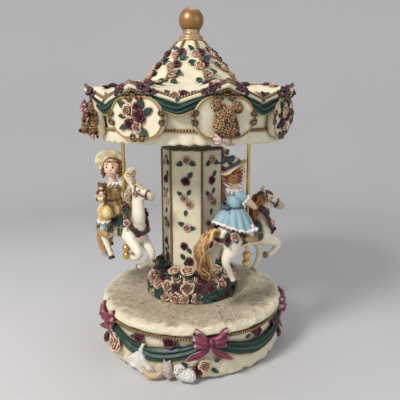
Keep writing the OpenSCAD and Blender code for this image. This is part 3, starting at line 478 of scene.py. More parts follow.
def bow(model, place, width, droop=1.0, seed=0):
    """A ribbon bow: two pleated loops, a knot and two tails that taper at their ends."""
    rng = np.random.default_rng(seed + 5)
    tone = rng.uniform()
    u, v = np.linspace(0, 1, 12), np.linspace(-1, 1, 15)
    for side in (-1, 1):
        reach = width * 0.47 * u
        half = width * (0.085 + 0.15 * smooth(u * 1.05))
        pleat = np.cos(v * math.pi * 2.4) * 0.055 * u[:, None]
        puff = 0.17 * np.sin(math.pi * np.clip(u, 0.02, 1) ** 0.75)[:, None] * (1 - 0.35 * v ** 2) + 0.05
        tip = 1 - 0.16 * v ** 2
        front = xyz(side * reach[:, None] * tip, half[:, None] * v + 0.12 * width * u[:, None] ** 2 * 0.6,
                    width * (puff + pleat))
        front = front + width * 0.035 * lumps(front, width * 0.22, seed + side)[..., None] * [0.4, 0.6, 1.0]
        back = front[:, ::-1] * [1, 1, 0] - [0, 0, width * 0.02]
        lit = np.clip(u[:, None] * 1.15 - 0.85, 0, 1) * 4 + np.clip(np.abs(v[None]) - 0.86, 0, 1) * 5
        mark = np.hstack([np.clip(lit, 0, 1), 0 * lit])
        model.strip(place.put(np.hstack([front, back])[:, ::side]), mark=mark[:, ::side], tone=tone)
        path = bezier([[side * width * 0.03, -width * 0.03, width * 0.07],
                       [side * width * 0.12, -width * 0.24 * droop, width * 0.1],
                       [side * width * 0.32, -width * 0.41 * droop, width * 0.03],
                       [side * width * 0.58, -width * 0.48 * droop, width * 0.12]], 12)
        across = xyz(0.85, side * np.linspace(0.25, 0.75, 12), 0.0)
        ribbon(model, place.put(path), np.interp(np.arange(12), (0, 8, 11), (0.09, 0.24, 0.07)) * width,
               across @ place.axes, width * 0.035, tone)
    knot, ring = np.linspace(0, math.pi, 9)[:, None], spin(14)
    height = 0.11 + 0.095 * np.cos(knot) + 0.012 * np.cos(4 * ring)
    middle = oval(ring, np.sin(knot), np.sin(knot), height) * width * [0.085, 0.105, 1]
    model.strip(place.put(middle), mark=0.25, tone=tone)


# ---- Flower beds ----

BED_PAINTS = {"dark": ("Burgundy rose", "burgundy"), "pale": ("Peach rose", "peach"),
              "blush": ("Blush rose", "peach"), "leaf": ("Rose leaf", "leaf")}


class Beds:
    """Roses of three colours and their leaves, each kind gathered into one object."""

    def __init__(self):
        self.models = {kind: Modeller() for kind in BED_PAINTS}

    def plant(self, kind, place, size, seed, **shape):
        (leaf if kind == "leaf" else rose)(self.models[kind], place, size, seed, **shape)

    def to_objects(self, body="carousel", **made):
        """Each kind given here becomes an object: kind=(name, frame node or ())."""
        for kind, (name, node) in made.items():
            paint, slot = BED_PAINTS[kind]
            self.models[kind].to_object(name, finish(paint), body, node, slot)


def ball(model, centre, radius, stretch=(1, 1, 1), mark=0.5, tone=0.5, place=None):
    """A small rounded bead, such as an eye or a button; stretch is along the place's own axes."""
    theta, phi = np.linspace(0.02, math.pi - 0.02, 9), spin(14)
    across = np.sin(theta)[:, None]
    grid = oval(phi, across, across, np.cos(theta)[:, None]) * radius * np.asarray(stretch)
    grid = grid + np.asarray(centre, float)
    model.strip(place.put(grid) if place else grid, mark=mark, tone=tone)


def tufts(model, places, points, normals, gap, length, away_from, seed=0):
    """Short pointed locks of fur, spread evenly over a skin and combed away from a point."""
    rng = np.random.default_rng(seed)
    kept = np.empty((0, 3))
    for i in rng.permutation(len(points)):
        p, n = points[i], normals[i]
        if n[2] < -0.35 or (len(kept) and ((kept - p) ** 2).sum(1).min() < gap * gap):
            continue
        kept = np.vstack([kept, p])
        comb = p - away_from
        comb = unit(comb - n * (comb @ n) + rng.normal(0, 2.2, 3))
        long, tone = length * rng.uniform(0.75, 1.2), rng.uniform()
        path = np.array([p - n * 0.4, p + comb * long * 0.3 + n * long * 0.3,
                         p + comb * long * 0.72 + n * long * 0.34,
                         p + comb * long + n * long * 0.16])
        # Height mark up each tuft; on the bears the golden tips are partly a painted highlight and the dark
        # roots partly painted shade
        level = np.repeat([[0.0], [0.45], [0.85], [1.0]], 6, 1)
        for place in places:
            tube(model, place.put(path), long * np.array([0.3, 0.27, 0.17, 0.04]), around=6,
                 up=place.axes[2],
                 mark=level, tone=tone, flat=0.7)


class Figure:
    """Rounded limbs, fused into one skin by a voxel remesh, with curls or folds pressed into it."""

    def __init__(self):
        self.model = Modeller()

    def limb(self, points, radii, place=None, thin=None, flat=1.0):
        """A tapering limb through points; flat narrows it along the direction thin."""
        points = np.asarray(points, float)
        if place is not None:
            points = place.put(points)
        if len(points) == 1:
            points = np.vstack([points, points + [0, 0, 0.01]])
            radii = [radii[0], radii[0]]
        length = np.linalg.norm(np.diff(points, axis=0), axis=1).sum()
        count = max(3, int(length / 1.3))
        path = bezier(points, count)
        radius = np.interp(np.linspace(0, len(points) - 1, count), np.arange(len(points)), radii)
        ahead = unit(np.gradient(path, axis=0) + 1e-9)
        turn = np.radians([78, 55, 30])
        first = path[0] - ahead[0] * radius[0] * np.sin(turn)[:, None]
        last = path[-1] + ahead[-1] * radius[-1] * np.sin(turn)[::-1, None]
        path = np.vstack([first, path, last])
        radius = np.concatenate([radius[0] * np.cos(turn), radius, radius[-1] * np.cos(turn)[::-1]])
        if thin is None:
            thin = np.eye(3)[np.abs(points[-1] - points[0]).argmin()]
        tube(self.model, path, radius, around=14, up=thin, flat=flat)
        return self

    def skin(self, grain):
        """Points in millimetres and faces of the fused skin."""
        temp = self.model.to_object("skin_form", None, None)
        fuse = temp.modifiers.new("Fuse", "REMESH")
        fuse.mode, fuse.voxel_size = "VOXEL", grain * MM
        ease = temp.modifiers.new("Ease", "SMOOTH")
        ease.factor, ease.iterations = 0.6, 3
        graph = bpy.context.evaluated_depsgraph_get()
        mesh = bpy.data.meshes.new_from_object(temp.evaluated_get(graph))
        points, normals = np.empty((2, len(mesh.vertices) * 3))
        mesh.vertices.foreach_get("co", points)
        mesh.vertices.foreach_get("normal", normals)
        faces = [list(p.vertices) for p in mesh.polygons]
        bpy.data.objects.remove(temp)
        bpy.data.meshes.remove(mesh)
        return points.reshape(-1, 3) / MM, normals.reshape(-1, 3), faces

    def to_object(self, name, material, grain, body="carousel", replaces=(), slot=None, curl=0.0,
                  curl_size=2.3,
                  places=None, shape=None):
        """Makes the skinned figure at each place; shape or curl move its points and mark them."""
        points, normals, faces = self.skin(grain)
        mark = np.full(len(points), 0.5)
        if shape:
            points, mark = shape(points, normals)
        if curl:
            noise.seed_set(CURL_SEED)
            warp = np.array([noise.noise_vector(Vector(p / (curl_size * 1.7))) for p in points])
            near = np.array([noise.voronoi(Vector(p))[0][:2] for p in points / curl_size + warp * 0.45])
            # Mark high on tuft tops and low between tufts; on the bears the golden tops are partly a painted
            # highlight, the dark between partly painted shade
            tuft = 1 - np.clip(near[:, 0] / np.maximum(near[:, 1], 1e-6), 0, 1)
            strand = 0.5 + 0.5 * np.sin(near[:, 0] * 15 + warp[:, 0] * 6)
            mark = np.clip(tuft * 0.75 + strand * 0.3, 0, 1)
            points = points + normals * (curl * (smooth(tuft * 1.5) + 0.22 * strand - 0.35))[:, None]
        model = Modeller()
        quads = np.array([f for f in faces if len(f) == 4])
        for place in places or [None]:
            model.add(place.put(points) if place else points, quads, mark)
        return model.to_object(name, material, body, replaces, slot)



# ---- Shared surface effects ----

class Graph:
    """Places nodes in a tree and links them by socket name."""

    def __init__(self, tree):
        self.tree = tree

    def node(self, kind, values=None, **settings):
        made = self.tree.nodes.new(kind)
        for key, value in settings.items():
            setattr(made, key, value)
        for key, value in (values or {}).items():
            self.feed(made.inputs[key], value)
        return made

    def feed(self, socket, value):
        """Links another node's output, or sets a plain value."""
        if isinstance(value, bpy.types.NodeSocket):
            self.tree.links.new(value, socket)
        elif isinstance(value, (tuple, list)) and socket.type == "RGBA":
            socket.default_value = (*value[:3], 1)
        else:
            socket.default_value = value

    def mix(self, factor, a, b, blend="MIX"):
        made = self.node("ShaderNodeMix", data_type="RGBA", blend_type=blend)
        for index, value in ((0, factor), (6, a), (7, b)):
            self.feed(made.inputs[index], value)
        return made.outputs[2]

    def math(self, operation, a, b=0.0, clamp=False):
        made = self.node("ShaderNodeMath", operation=operation, use_clamp=clamp)
        self.feed(made.inputs[0], a)
        self.feed(made.inputs[1], b)
        return made.outputs[0]

    def ramp(self, value, low, high, start=0.0, end=1.0):
        made = self.node("ShaderNodeMapRange", {"Value": value, "From Min": low, "From Max": high,
                                                "To Min": start, "To Max": end}, clamp=True)
        return made.outputs["Result"]

    def noise(self, vector, scale, detail=3.0, rough=0.55):
        made = self.node("ShaderNodeTexNoise", {"Vector": vector, "Scale": scale, "Detail": detail,
                                                "Roughness": rough})
        return made.outputs["Fac"]

    def place(self):
        return self.node("ShaderNodeTexCoord").outputs["Object"]

    def mark(self, name="height_mark"):
        return self.node("ShaderNodeAttribute", attribute_name=name).outputs["Fac"]


def effect(name, inputs, outputs, build):
    """A shader node group, built once. inputs gives each socket's default, outputs its kind."""
    if name in bpy.data.node_groups:
        return bpy.data.node_groups[name]
    tree = bpy.data.node_groups.new(name, "ShaderNodeTree")
    for label, default in inputs.items():
        kind, value = ("Color", (*default, 1)) if isinstance(default, tuple) else ("Float", default)
        tree.interface.new_socket(label, in_out="INPUT",
                                  socket_type=f"NodeSocket{kind}").default_value = value
    for label, kind in outputs.items():
        tree.interface.new_socket(label, in_out="OUTPUT", socket_type=f"NodeSocket{kind}")
    graph = Graph(tree)
    build(graph, graph.node("NodeGroupInput").outputs, graph.node("NodeGroupOutput").inputs)
    return tree


def wash_and_painted_shade():
    """Dark stain in hollows, thinning out on raised parts: an antique wash and painted shade, darkened by
    occlusion from any part.
    """
    def build(g, entry, leave):
        shade = g.node("ShaderNodeAmbientOcclusion", {"Distance": entry["Reach"]}, samples=6,
                       only_local=False)
        hollow = g.ramp(shade.outputs["AO"], 0.95, 0.35)
        blot = g.noise(g.place(), 190, 4)
        patchy = g.math("MULTIPLY", hollow, g.ramp(blot, 0.25, 0.65, 0.55, 1.1), clamp=True)
        film = g.ramp(g.noise(g.place(), 60, 5), 0.5, 0.72, 0.0, 0.3)
        cover = g.math("MULTIPLY", g.math("ADD", patchy, film), entry["Amount"], clamp=True)
        g.feed(leave["Color"], g.mix(cover, entry["Color"], entry["Wash"]))
        g.feed(leave["Cover"], cover)
    inputs = {"Color": (0.8, 0.8, 0.8), "Wash": (0.1, 0.05, 0.02), "Amount": 0.7, "Reach": 0.003}
    return effect("Antique wash and painted shade", inputs, {"Color": "Color", "Cover": "Float"}, build)


def paint_edge_and_highlight():
    """A second colour on the parts that the height mark raises, with a hand-painted border. On some finishes
    it is a second paint colour, on others a painted highlight.
    """
    def build(g, entry, leave):
        wobble = g.math("MULTIPLY", g.math("SUBTRACT", g.noise(g.place(), 420, 2), 0.5), 0.35)
        level = g.math("ADD", g.mark(), wobble)
        mask = g.node("ShaderNodeMapRange",
                      {"Value": level, "From Min": entry["Start"], "From Max": entry["End"]},
                      clamp=True).outputs["Result"]
        g.feed(leave["Color"], g.mix(mask, entry["Color"], entry["Edge"]))
        g.feed(leave["Mask"], mask)
    inputs = {"Color": (0.5, 0.5, 0.5), "Edge": (0.9, 0.9, 0.9), "Start": 0.7, "End": 0.95}
    return effect("Painted edge and highlight", inputs, {"Color": "Color", "Mask": "Float"}, build)


def hand_tint():
    """Small changes of brightness from piece to piece and over each piece."""
    def build(g, entry, leave):
        each = g.ramp(g.mark("tone"), 0, 1, -1, 1)
        over = g.ramp(g.noise(g.place(), 110, 3), 0.3, 0.7, -1, 1)
        push = g.math("MULTIPLY", g.math("ADD", g.math("MULTIPLY", each, 0.7), g.math("MULTIPLY", over, 0.5)),
                      entry["Spread"])
        bright = g.node("ShaderNodeHueSaturation",
                        {"Color": entry["Color"], "Value": g.math("ADD", push, 1.0)})
        g.feed(leave["Color"], bright.outputs["Color"])
    return effect("Hand tint", {"Color": (0.5, 0.5, 0.5), "Spread": 0.15}, {"Color": "Color"}, build)


def cast_grain():
    """Fine bumps of a painted casting, as a normal."""
    def build(g, entry, leave):
        fine = g.noise(g.place(), entry["Scale"], 4, 0.6)
        bump = g.node("ShaderNodeBump", {"Height": fine, "Strength": entry["Strength"], "Distance": 0.0004})
        g.feed(leave["Normal"], bump.outputs["Normal"])
    return effect("Cast grain", {"Scale": 900.0, "Strength": 0.2}, {"Normal": "Vector"}, build)


def use(graph, group, **values):
    made = graph.node("ShaderNodeGroup", node_tree=group)
    for key, value in values.items():
        graph.feed(made.inputs[key], value)
    return made.outputs


def surface(name, build, **fixed):
    """A material made once; build(graph) gives the sockets that change over it, fixed the plain ones."""
    if name in bpy.data.materials:
        return bpy.data.materials[name]
    made = bpy.data.materials.new(name)
    made.use_nodes = True
    graph = Graph(made.node_tree)
    shader = made.node_tree.nodes["Principled BSDF"]
    for key, value in [*fixed.items(), *build(graph).items()]:
        graph.feed(shader.inputs[key.replace("_", " ")], value)
    return made


def painted(name, colour, roughness=0.5, wash_shade=0.6, reach=0.002, spread=0.1, grain=0.2, edge=None,
            span=(0.6, 1.0),
            wash_shade_colour="wash_shade"):
    """Hand-painted resin: tint, an edge colour on raised parts (on some a painted highlight), wash and
    painted shade in hollows, cast grain.
    A colour may be the name of one of the carousel's paints."""
    colour, edge, wash_shade_colour = (tuple(getattr(paints(), c) if isinstance(c, str) else c or ())
                                 for c in (colour, edge, wash_shade_colour))

    def build(g):
        shade = use(g, hand_tint(), Color=colour, Spread=spread)["Color"]
        if edge:
            # Edge colour on raised parts: a second paint on some finishes, a painted highlight on others
            shade = use(g, paint_edge_and_highlight(), Color=shade, Edge=edge, Start=span[0], End=span[1])["Color"]
        # Antique wash that also lays painted shade in the hollows
        stained = use(g, wash_and_painted_shade(), Color=shade, Wash=wash_shade_colour, Amount=wash_shade, Reach=reach)
        return {"Base Color": stained["Color"],
                "Normal": use(g, cast_grain(), Scale=900.0, Strength=grain)["Normal"],
                "Roughness": g.ramp(stained["Cover"], 0, 1, roughness, roughness + 0.2)}
    return surface(name, build)


# Paints used in many places: colour, roughness, amount of wash and painted shade, reach, spread, grain,
# edge colour (a painted highlight on some), its span, colour of the wash and painted shade
FINISHES = {
    "Cream resin": ("cream", 0.55, 0.62, 0.0035, 0.05, 0.35),
    "Plaque cream": ("cream", 0.55, 0.5, 0.002, 0.05, 0.2, (0.36, 0.22, 0.07), (0.45, 0.8)),
    # Gold paint on the beads over a near-black base that shows in the grooves between them as painted shade.
    "Gold rope": ((0.055, 0.024, 0.008), 0.36, 0.6, 0.0015, 0.3, 0.2, "trim_gold", (0.58, 1.0),
                  (0.02, 0.008, 0.003)),
    # Its paler green edge colour on the pleat crests is a painted highlight.
    "Green swag": ("swag_green", 0.4, 0.95, 0.0035, 0.35, 0.2, (0.1, 0.24, 0.17), (0.74, 1.15),
                   (0.002, 0.009, 0.007)),
    "Swag hem": ((0.5, 0.34, 0.12), 0.4, 0.6, 0.0015, 0.12),
    # Its pale pink edge colour on the petal rims is a painted highlight.
    "Burgundy rose": ("burgundy", 0.34, 0.9, 0.002, 0.4, 0.2, (0.34, 0.1, 0.14), (0.8, 1.2),
                      (0.018, 0.002, 0.004)),
    "Peach rose": ("peach", 0.45, 1.0, 0.0022, 0.16, 0.2, (0.9, 0.71, 0.5), (0.52, 1.0),
                   (0.15, 0.032, 0.018)),
    "Blush rose": ((0.6, 0.24, 0.2), 0.55, 1.0, 0.0022, 0.16, 0.2, (0.88, 0.66, 0.54), (0.5, 0.95),
                   (0.15, 0.03, 0.028)),
    # Its grey-green edge colour on the midrib, veins and edges is partly vein paint and partly a painted
    # highlight.
    "Rose leaf": ("leaf_green", 0.45, 0.6, 0.0018, 0.35, 0.2, (0.09, 0.19, 0.14), (0.5, 1.25),
                  (0.006, 0.02, 0.014)),
    # Its pale pink edge colour is partly painted rims and partly a painted highlight on the satin.
    "Ribbon satin": ("ribbon", 0.34, 1.0, 0.0035, 0.25, 0.2, "ribbon_edge", (0.5, 1.0),
                     (0.035, 0.003, 0.01)),
    # Its golden tips are partly paint and partly a painted highlight; the dark base between tufts is partly
    # painted shade.
    "Bear fur": ("fur", 0.5, 1.0, 0.0016, 0.35, 0.3, "fur_tip", (0.3, 1.0), (0.05, 0.018, 0.006)),
    "Horse coat": ("ivory", 0.38, 0.85, 0.0045, 0.06, 0.15, (0.36, 0.27, 0.17), (0.6, 1.3)),
    "Dark brown gloss": ((0.022, 0.012, 0.008), 0.15, 0.0),
    "Doll skin": ((0.82, 0.6, 0.45), 0.42, 0.35, 0.0015, 0.02, 0.05, None, (0.6, 1.0), (0.35, 0.13, 0.07)),
    "White frill": ((0.8, 0.78, 0.73), 0.5, 0.6, 0.0016)}


def finish(name):
    return painted(name, *FINISHES[name])


def deck_cloth():
    p = paints()

    def build(g):
        spot = g.place()
        cloud = g.ramp(g.noise(spot, 48, 6, 0.68), 0.36, 0.66)
        base = g.mix(cloud, tuple(p.stone), (0.68, 0.6, 0.46))
        fine = g.ramp(g.noise(spot, 520, 4, 0.7), 0.42, 0.62)
        base = g.mix(g.math("MULTIPLY", fine, 0.45), base, (0.2, 0.155, 0.105))
        blotch = g.ramp(g.noise(spot, 210, 2, 0.4), 0.6, 0.68)
        base = g.mix(g.math("MULTIPLY", blotch, 0.6), base, (0.17, 0.11, 0.07))
        cells = g.node("ShaderNodeTexVoronoi", {"Vector": spot, "Scale": 360}).outputs["Distance"]
        speck = g.math("MULTIPLY", g.ramp(cells, 0.32, 0.12), g.ramp(g.noise(spot, 95, 2), 0.44, 0.56))
        flecked = g.mix(g.math("MULTIPLY", speck, 0.85), base, (0.1, 0.065, 0.045))
        pale = use(g, paint_edge_and_highlight(), Color=flecked, Edge=tuple(p.cream), Start=0.12, End=0.95)["Color"]
        # Antique wash that also lays painted shade in the folds of the cloth
        stained = use(g, wash_and_painted_shade(), Color=pale, Wash=tuple(p.wash_shade), Amount=0.55, Reach=0.004)
        return {"Base Color": stained["Color"],
                "Normal": use(g, cast_grain(), Scale=500.0, Strength=0.35)["Normal"]}
    return surface("Deck cloth", build, Roughness=0.7)


def metal(name, colour, roughness=0.22, scratch=0.25, stain=0.15):
    """Turned or stamped metal with fine marks and a little tarnish."""
    def build(g):
        spot = g.place()
        streak = g.node("ShaderNodeMapping", {"Vector": spot, "Scale": (260, 260, 1800)}).outputs["Vector"]
        fine = g.noise(streak, 1.0, 3)
        dull = g.ramp(g.noise(spot, 90, 4), 0.45, 0.7)
        shade = g.mix(g.math("MULTIPLY", dull, stain), tuple(colour), tuple(c * 0.35 for c in colour))
        bump = g.node("ShaderNodeBump", {"Height": fine, "Strength": scratch, "Distance": 0.0001})
        return {"Base Color": shade, "Roughness": g.ramp(dull, 0, 1, roughness, roughness + 0.2),
                "Normal": bump.outputs["Normal"]}
    return surface(name, build, Metallic=1.0)


def brass():
    return metal("Brass", paints().brass, 0.16, 0.08)


def steel():
    return metal("Steel", paints().steel, 0.25)


def antique_gold():
    """Satin antique gold paint over turned wood, rubbed to a darker bronze."""
    p = paints()

    def build(g):
        spot = g.place()
        rub = g.ramp(g.noise(spot, 55, 5, 0.6), 0.35, 0.7)
        shade = g.mix(rub, tuple(p.finial), tuple(c * 0.62 for c in p.finial))
        return {"Base Color": shade, "Roughness": g.ramp(rub, 0, 1, 0.38, 0.5),
                "Normal": use(g, cast_grain(), Scale=420.0, Strength=0.12)["Normal"]}
    return surface("Antique gold", build, Metallic=0.6)


def pale_gold():
    p = paints()

    def build(g):
        rub = g.ramp(g.noise(g.place(), 75, 5, 0.6), 0.35, 0.7)
        shade = g.mix(rub, tuple(p.collar), tuple(c * 0.6 for c in p.collar))
        # Antique wash that also lays painted shade in the turned grooves
        stained = use(g, wash_and_painted_shade(), Color=shade, Wash=tuple(p.wash_shade), Amount=0.7, Reach=0.003)
        return {"Base Color": stained["Color"],
                "Normal": use(g, cast_grain(), Scale=420.0, Strength=0.15)["Normal"]}
    return surface("Pale gold", build, Metallic=0.35, Roughness=0.38)


def board(name, colour, fleck):
    """Pressed board with fibres."""
    def build(g):
        spot = g.place()
        stretched = g.node("ShaderNodeMapping", {"Vector": spot, "Scale": (900, 180, 900)}).outputs["Vector"]
        fibre = g.ramp(g.noise(stretched, 1.0, 4), 0.35, 0.7)
        shade = g.mix(fibre, tuple(colour), tuple(fleck))
        bump = g.node("ShaderNodeBump", {"Height": fibre, "Strength": 0.2, "Distance": 0.0002})
        return {"Base Color": shade, "Normal": bump.outputs["Normal"]}
    return surface(name, build, Roughness=0.8)


def felt():
    def build(g):
        fuzz = g.noise(g.place(), 2600, 3)
        bump = g.node("ShaderNodeBump", {"Height": fuzz, "Strength": 0.6, "Distance": 0.0004})
        return {"Base Color": g.mix(g.ramp(fuzz, 0.35, 0.65), (0.028, 0.028, 0.03), (0.075, 0.075, 0.08)),
                "Normal": bump.outputs["Normal"]}
    return surface("Felt", build, Roughness=0.95, Sheen_Weight=0.4)


def moulded_plastic():
    def build(g):
        return {"Base Color": g.mix(g.ramp(g.noise(g.place(), 70, 3), 0.3, 0.7), (0.72, 0.72, 0.68),
                                    (0.78, 0.78, 0.74)),
                "Normal": use(g, cast_grain(), Scale=1400.0, Strength=0.06)["Normal"]}
    return surface("Moulded plastic", build, Roughness=0.38)


# ---- Base ----

def build_base_wall():
    """Wall with a skirt of draped cloth round its foot, closed down to the key recess."""
    degrees = whole_turn(900)
    a = np.radians(degrees)
    z = np.concatenate([np.linspace(WALL_FOOT, 8, 12), np.linspace(9, 27, 26),
                        np.linspace(28.5, 43.5, 10)])[:, None]
    ring = lumps(polar(BASE_R, degrees, 0), 26, 1)
    hem = 23 + 3.2 * ring
    under = np.clip((hem - z) / 7, 0, 1)
    fold = 0.5 + 0.5 * np.sin(a * 21 + z * 0.16 + 2.6 * ring) * np.cos(a * 7 + 1.3 + 0.05 * z)
    crease = 1 - np.abs(np.sin(a * 15.5 - z * 0.11 + 1.9 * ring)) ** 0.45
    out = smooth(under) * (1.3 + 2.3 * fold - 0.9 * crease)
    foot = np.clip((z - WALL_FOOT) / 5, 0, 1)
    lobe = 0.5 + 0.5 * np.sin(a * 13 + 2.2 * ring)
    out = BASE_R - 0.6 + (out - (1 - foot) ** 2 * (1.6 + 2.4 * (1 - lobe)))
    rough = lumps(polar(out, degrees, z)[::2, ::3], 5.0, 2, 3).repeat(2, 0).repeat(3, 1)
    points = polar(out + (0.35 + 0.55 * under) * rough, degrees, z)
    inner = [polar(r, degrees, level) for r, level in
             ((BASE_R - 2, WALL_TOP), (BASE_R - 10, WALL_TOP), (BASE_R - 10, RECESS_TOP),
              (RECESS_R, RECESS_TOP),
              (RECESS_R, WALL_FOOT))]
    model = Modeller()
    model.lathe(np.vstack([points, inner]))
    model.to_object("base_wall", finish("Cream resin"), "base", "base_shell", "cream")


def build_deck():
    """Deck dressed in crumpled cloth that hangs over the wall in an uneven edge."""
    degrees = whole_turn(1080)
    key = np.array([(3.2, 0, 0), (74, 0, 0), (82.5, 0, 0.32), (86.3, -0.8, 0.75), (88, -2.3, 1),
                    (88.8, -4.6, 1),
                    (88.9, -6.6, 1), (88.2, -8.0, 1), (87.0, -8.2, 0.5), (86.0, -7.0, 0.1), (85.4, -5.5, 0),
                    (80, -5, 0), (3.2, -5, 0)])
    steps = np.concatenate([np.linspace(0, 1, 24), np.linspace(1.3, 8, 30), np.arange(9, 13)])
    r, drop, level = (np.interp(steps, np.arange(13), column) for column in key.T)
    loose = np.interp(steps, (1, 3, 7, 9), (0, 1, 1, 0))[:, None]
    grid = polar(r[:, None], degrees, DECK_TOP - 0.35 + drop[:, None])
    wide = lumps(polar(86, degrees, 0), 12, 3)[None]
    folds = lumps(grid[:, ::2] * [1, 1, 0.8], 7.5, 8, 3).repeat(2, 1)
    crease = np.clip(1 - np.abs(lumps(grid[:, ::2] * [1, 1, 0.3], 8, 21).repeat(2, 1)) * 9, 0, 1)
    push = loose * (wide + 1.1 * folds - 0.35 * crease)
    hem = np.interp(steps, (5, 7, 8, 9), (0, 1, 1, 0))[:, None]
    grid = grid + unit(grid - [0, 0, 20]) * push[..., None]
    rim = np.interp(steps, (1, 2, 4, 5), (0, 1, 1, 0))[:, None]
    grid[..., 2] += 1.3 * hem * (wide + 0.6 * folds) + 0.6 * folds * rim
    model = Modeller()
    mark = np.clip(level[:, None] + (0.75 * folds + 0.35 * wide) * ((level > 0) & (level < 1))[:, None], 0, 1)
    model.lathe(grid, mark)
    model.to_object("deck_cloth", deck_cloth(), "base", "base_deck", "stone")


def swag_band(model, hem, path, out, widths, seed=0.0):
    """A pleated swag along a closed path; out points away from the wall at each place."""
    out = unit(out)
    ahead = unit(np.roll(path, -1, 0) - np.roll(path, 1, 0))
    up = unit(np.cross(out, ahead))
    v = np.linspace(-1, 1, 19)
    wander = 0.9 * lumps(xyz(distances(path), 0, 0), 22, seed + 5)
    pleat = 0.5 + 0.5 * np.cos(v * 8.6 + wander[:, None] * 3.6)
    depth = size_mm("swag_depth") * np.sqrt(np.clip(1 - v ** 2, 0, 1)) * (0.3 + 0.7 * pleat)
    widths = widths * (1 + 0.12 * wander)
    front = path[:, None] + up[:, None] * (widths[:, None] * v)[..., None] + out[:, None] * depth[..., None]
    back = front[:, [-1, 0]] - out[:, None]
    # Height mark: highest on the pleat crests, where the swag's finish paints its highlight
    mark = np.hstack([pleat * (1 - 0.4 * np.abs(v)), np.zeros((len(path), 2))])
    model.patch(np.hstack([front, back]), wrap_u=True, wrap_v=True, mark=mark)
    tube(hem, path - up * (widths[:, None] * 0.99) + out * 0.5, 0.55, closed=True)


def build_base_swag():
    """Green swag round the wall, with a gold hem along its lower edge."""
    degrees = whole_turn(720)
    t = np.abs(((degrees - BOW_TURN) % BOW_STEP) / BOW_STEP - 0.5) * 2
    path = polar(BASE_R + 0.9 + 1.5 * (1 - t * t), degrees, BOW_Z - 2 - 14 * (1 - t * t))
    path[:, 2] += 0.8 * lumps(path, 16, 12)
    swag, hem = Modeller(), Modeller()
    swag_band(swag, hem, path, polar(1.0, degrees, 0.0), 2.8 + 3.3 * (1 - t ** 3))
    swag.to_object("base_swag_cloth", finish("Green swag"), "base", "base_swag", "green_cloth")
    hem.to_object("base_swag_hem", finish("Swag hem"), "base", slot="gold_trim")


def build_base_bows():
    model = Modeller()
    for i in range(BOWS):
        place = Place.on_wall(BASE_R + 2.4, BOW_TURN + i * BOW_STEP, BOW_Z + 0.5, turn=(-4, 3, 5, -3, 2)[i])
        bow(model, place, size_mm("bow_width"), seed=i)
    model.to_object("base_ribbon_bows", finish("Ribbon satin"), "base", "base_bows", "ribbon")


# Flowers near each bow: degrees from the bow, height, radius, kind, turn
BASE_FLOWERS = (
    (-3.2, 15.5, 5.4, "pale", 0), (-7.4, 10.2, 4.9, "dark", 0), (-23, 36.0, 5.2, "dark", 0),
    (31.5, 34.5, 4.7, "dark", 0), (6.4, 25.5, 3.6, "dark", 0),
    (-12.6, 14.5, 6.6, "leaf", 150), (1.0, 10.5, 6.4, "leaf", -25), (2.6, 17.4, 6.2, "leaf", 30),
    (-20.6, 35.0, 6.4, "leaf", -15), (27.4, 32.4, 5.6, "leaf", 190))


def build_base_flowers():
    """Roses and leaves on the wall and skirt, one spray by each bow."""
    beds = Beds()
    for i in range(BOWS):
        for j, (away, z, size, kind, turn) in enumerate(BASE_FLOWERS):
            degrees = BOW_TURN + i * BOW_STEP + away + (0, 1.5, -2, 4.5, -1.5)[i]
            if i == 4 and kind == "pale":
                size, z, degrees = 8.6, 19.0, degrees + 15
            skirt = (3.4 if z < 21 else 0.4) - 1.2 + (2.2 if z > 33 else 0)
            beds.plant(kind, Place.on_wall(BASE_R + skirt, degrees, z, lean=8, turn=turn), size, i * 20 + j)
    beds.to_objects("base", dark=("base_roses_burgundy", "base_roses"),
                    pale=("base_roses_peach", "base_roses"),
                    leaf=("base_rose_leaves", "base_leaves"))


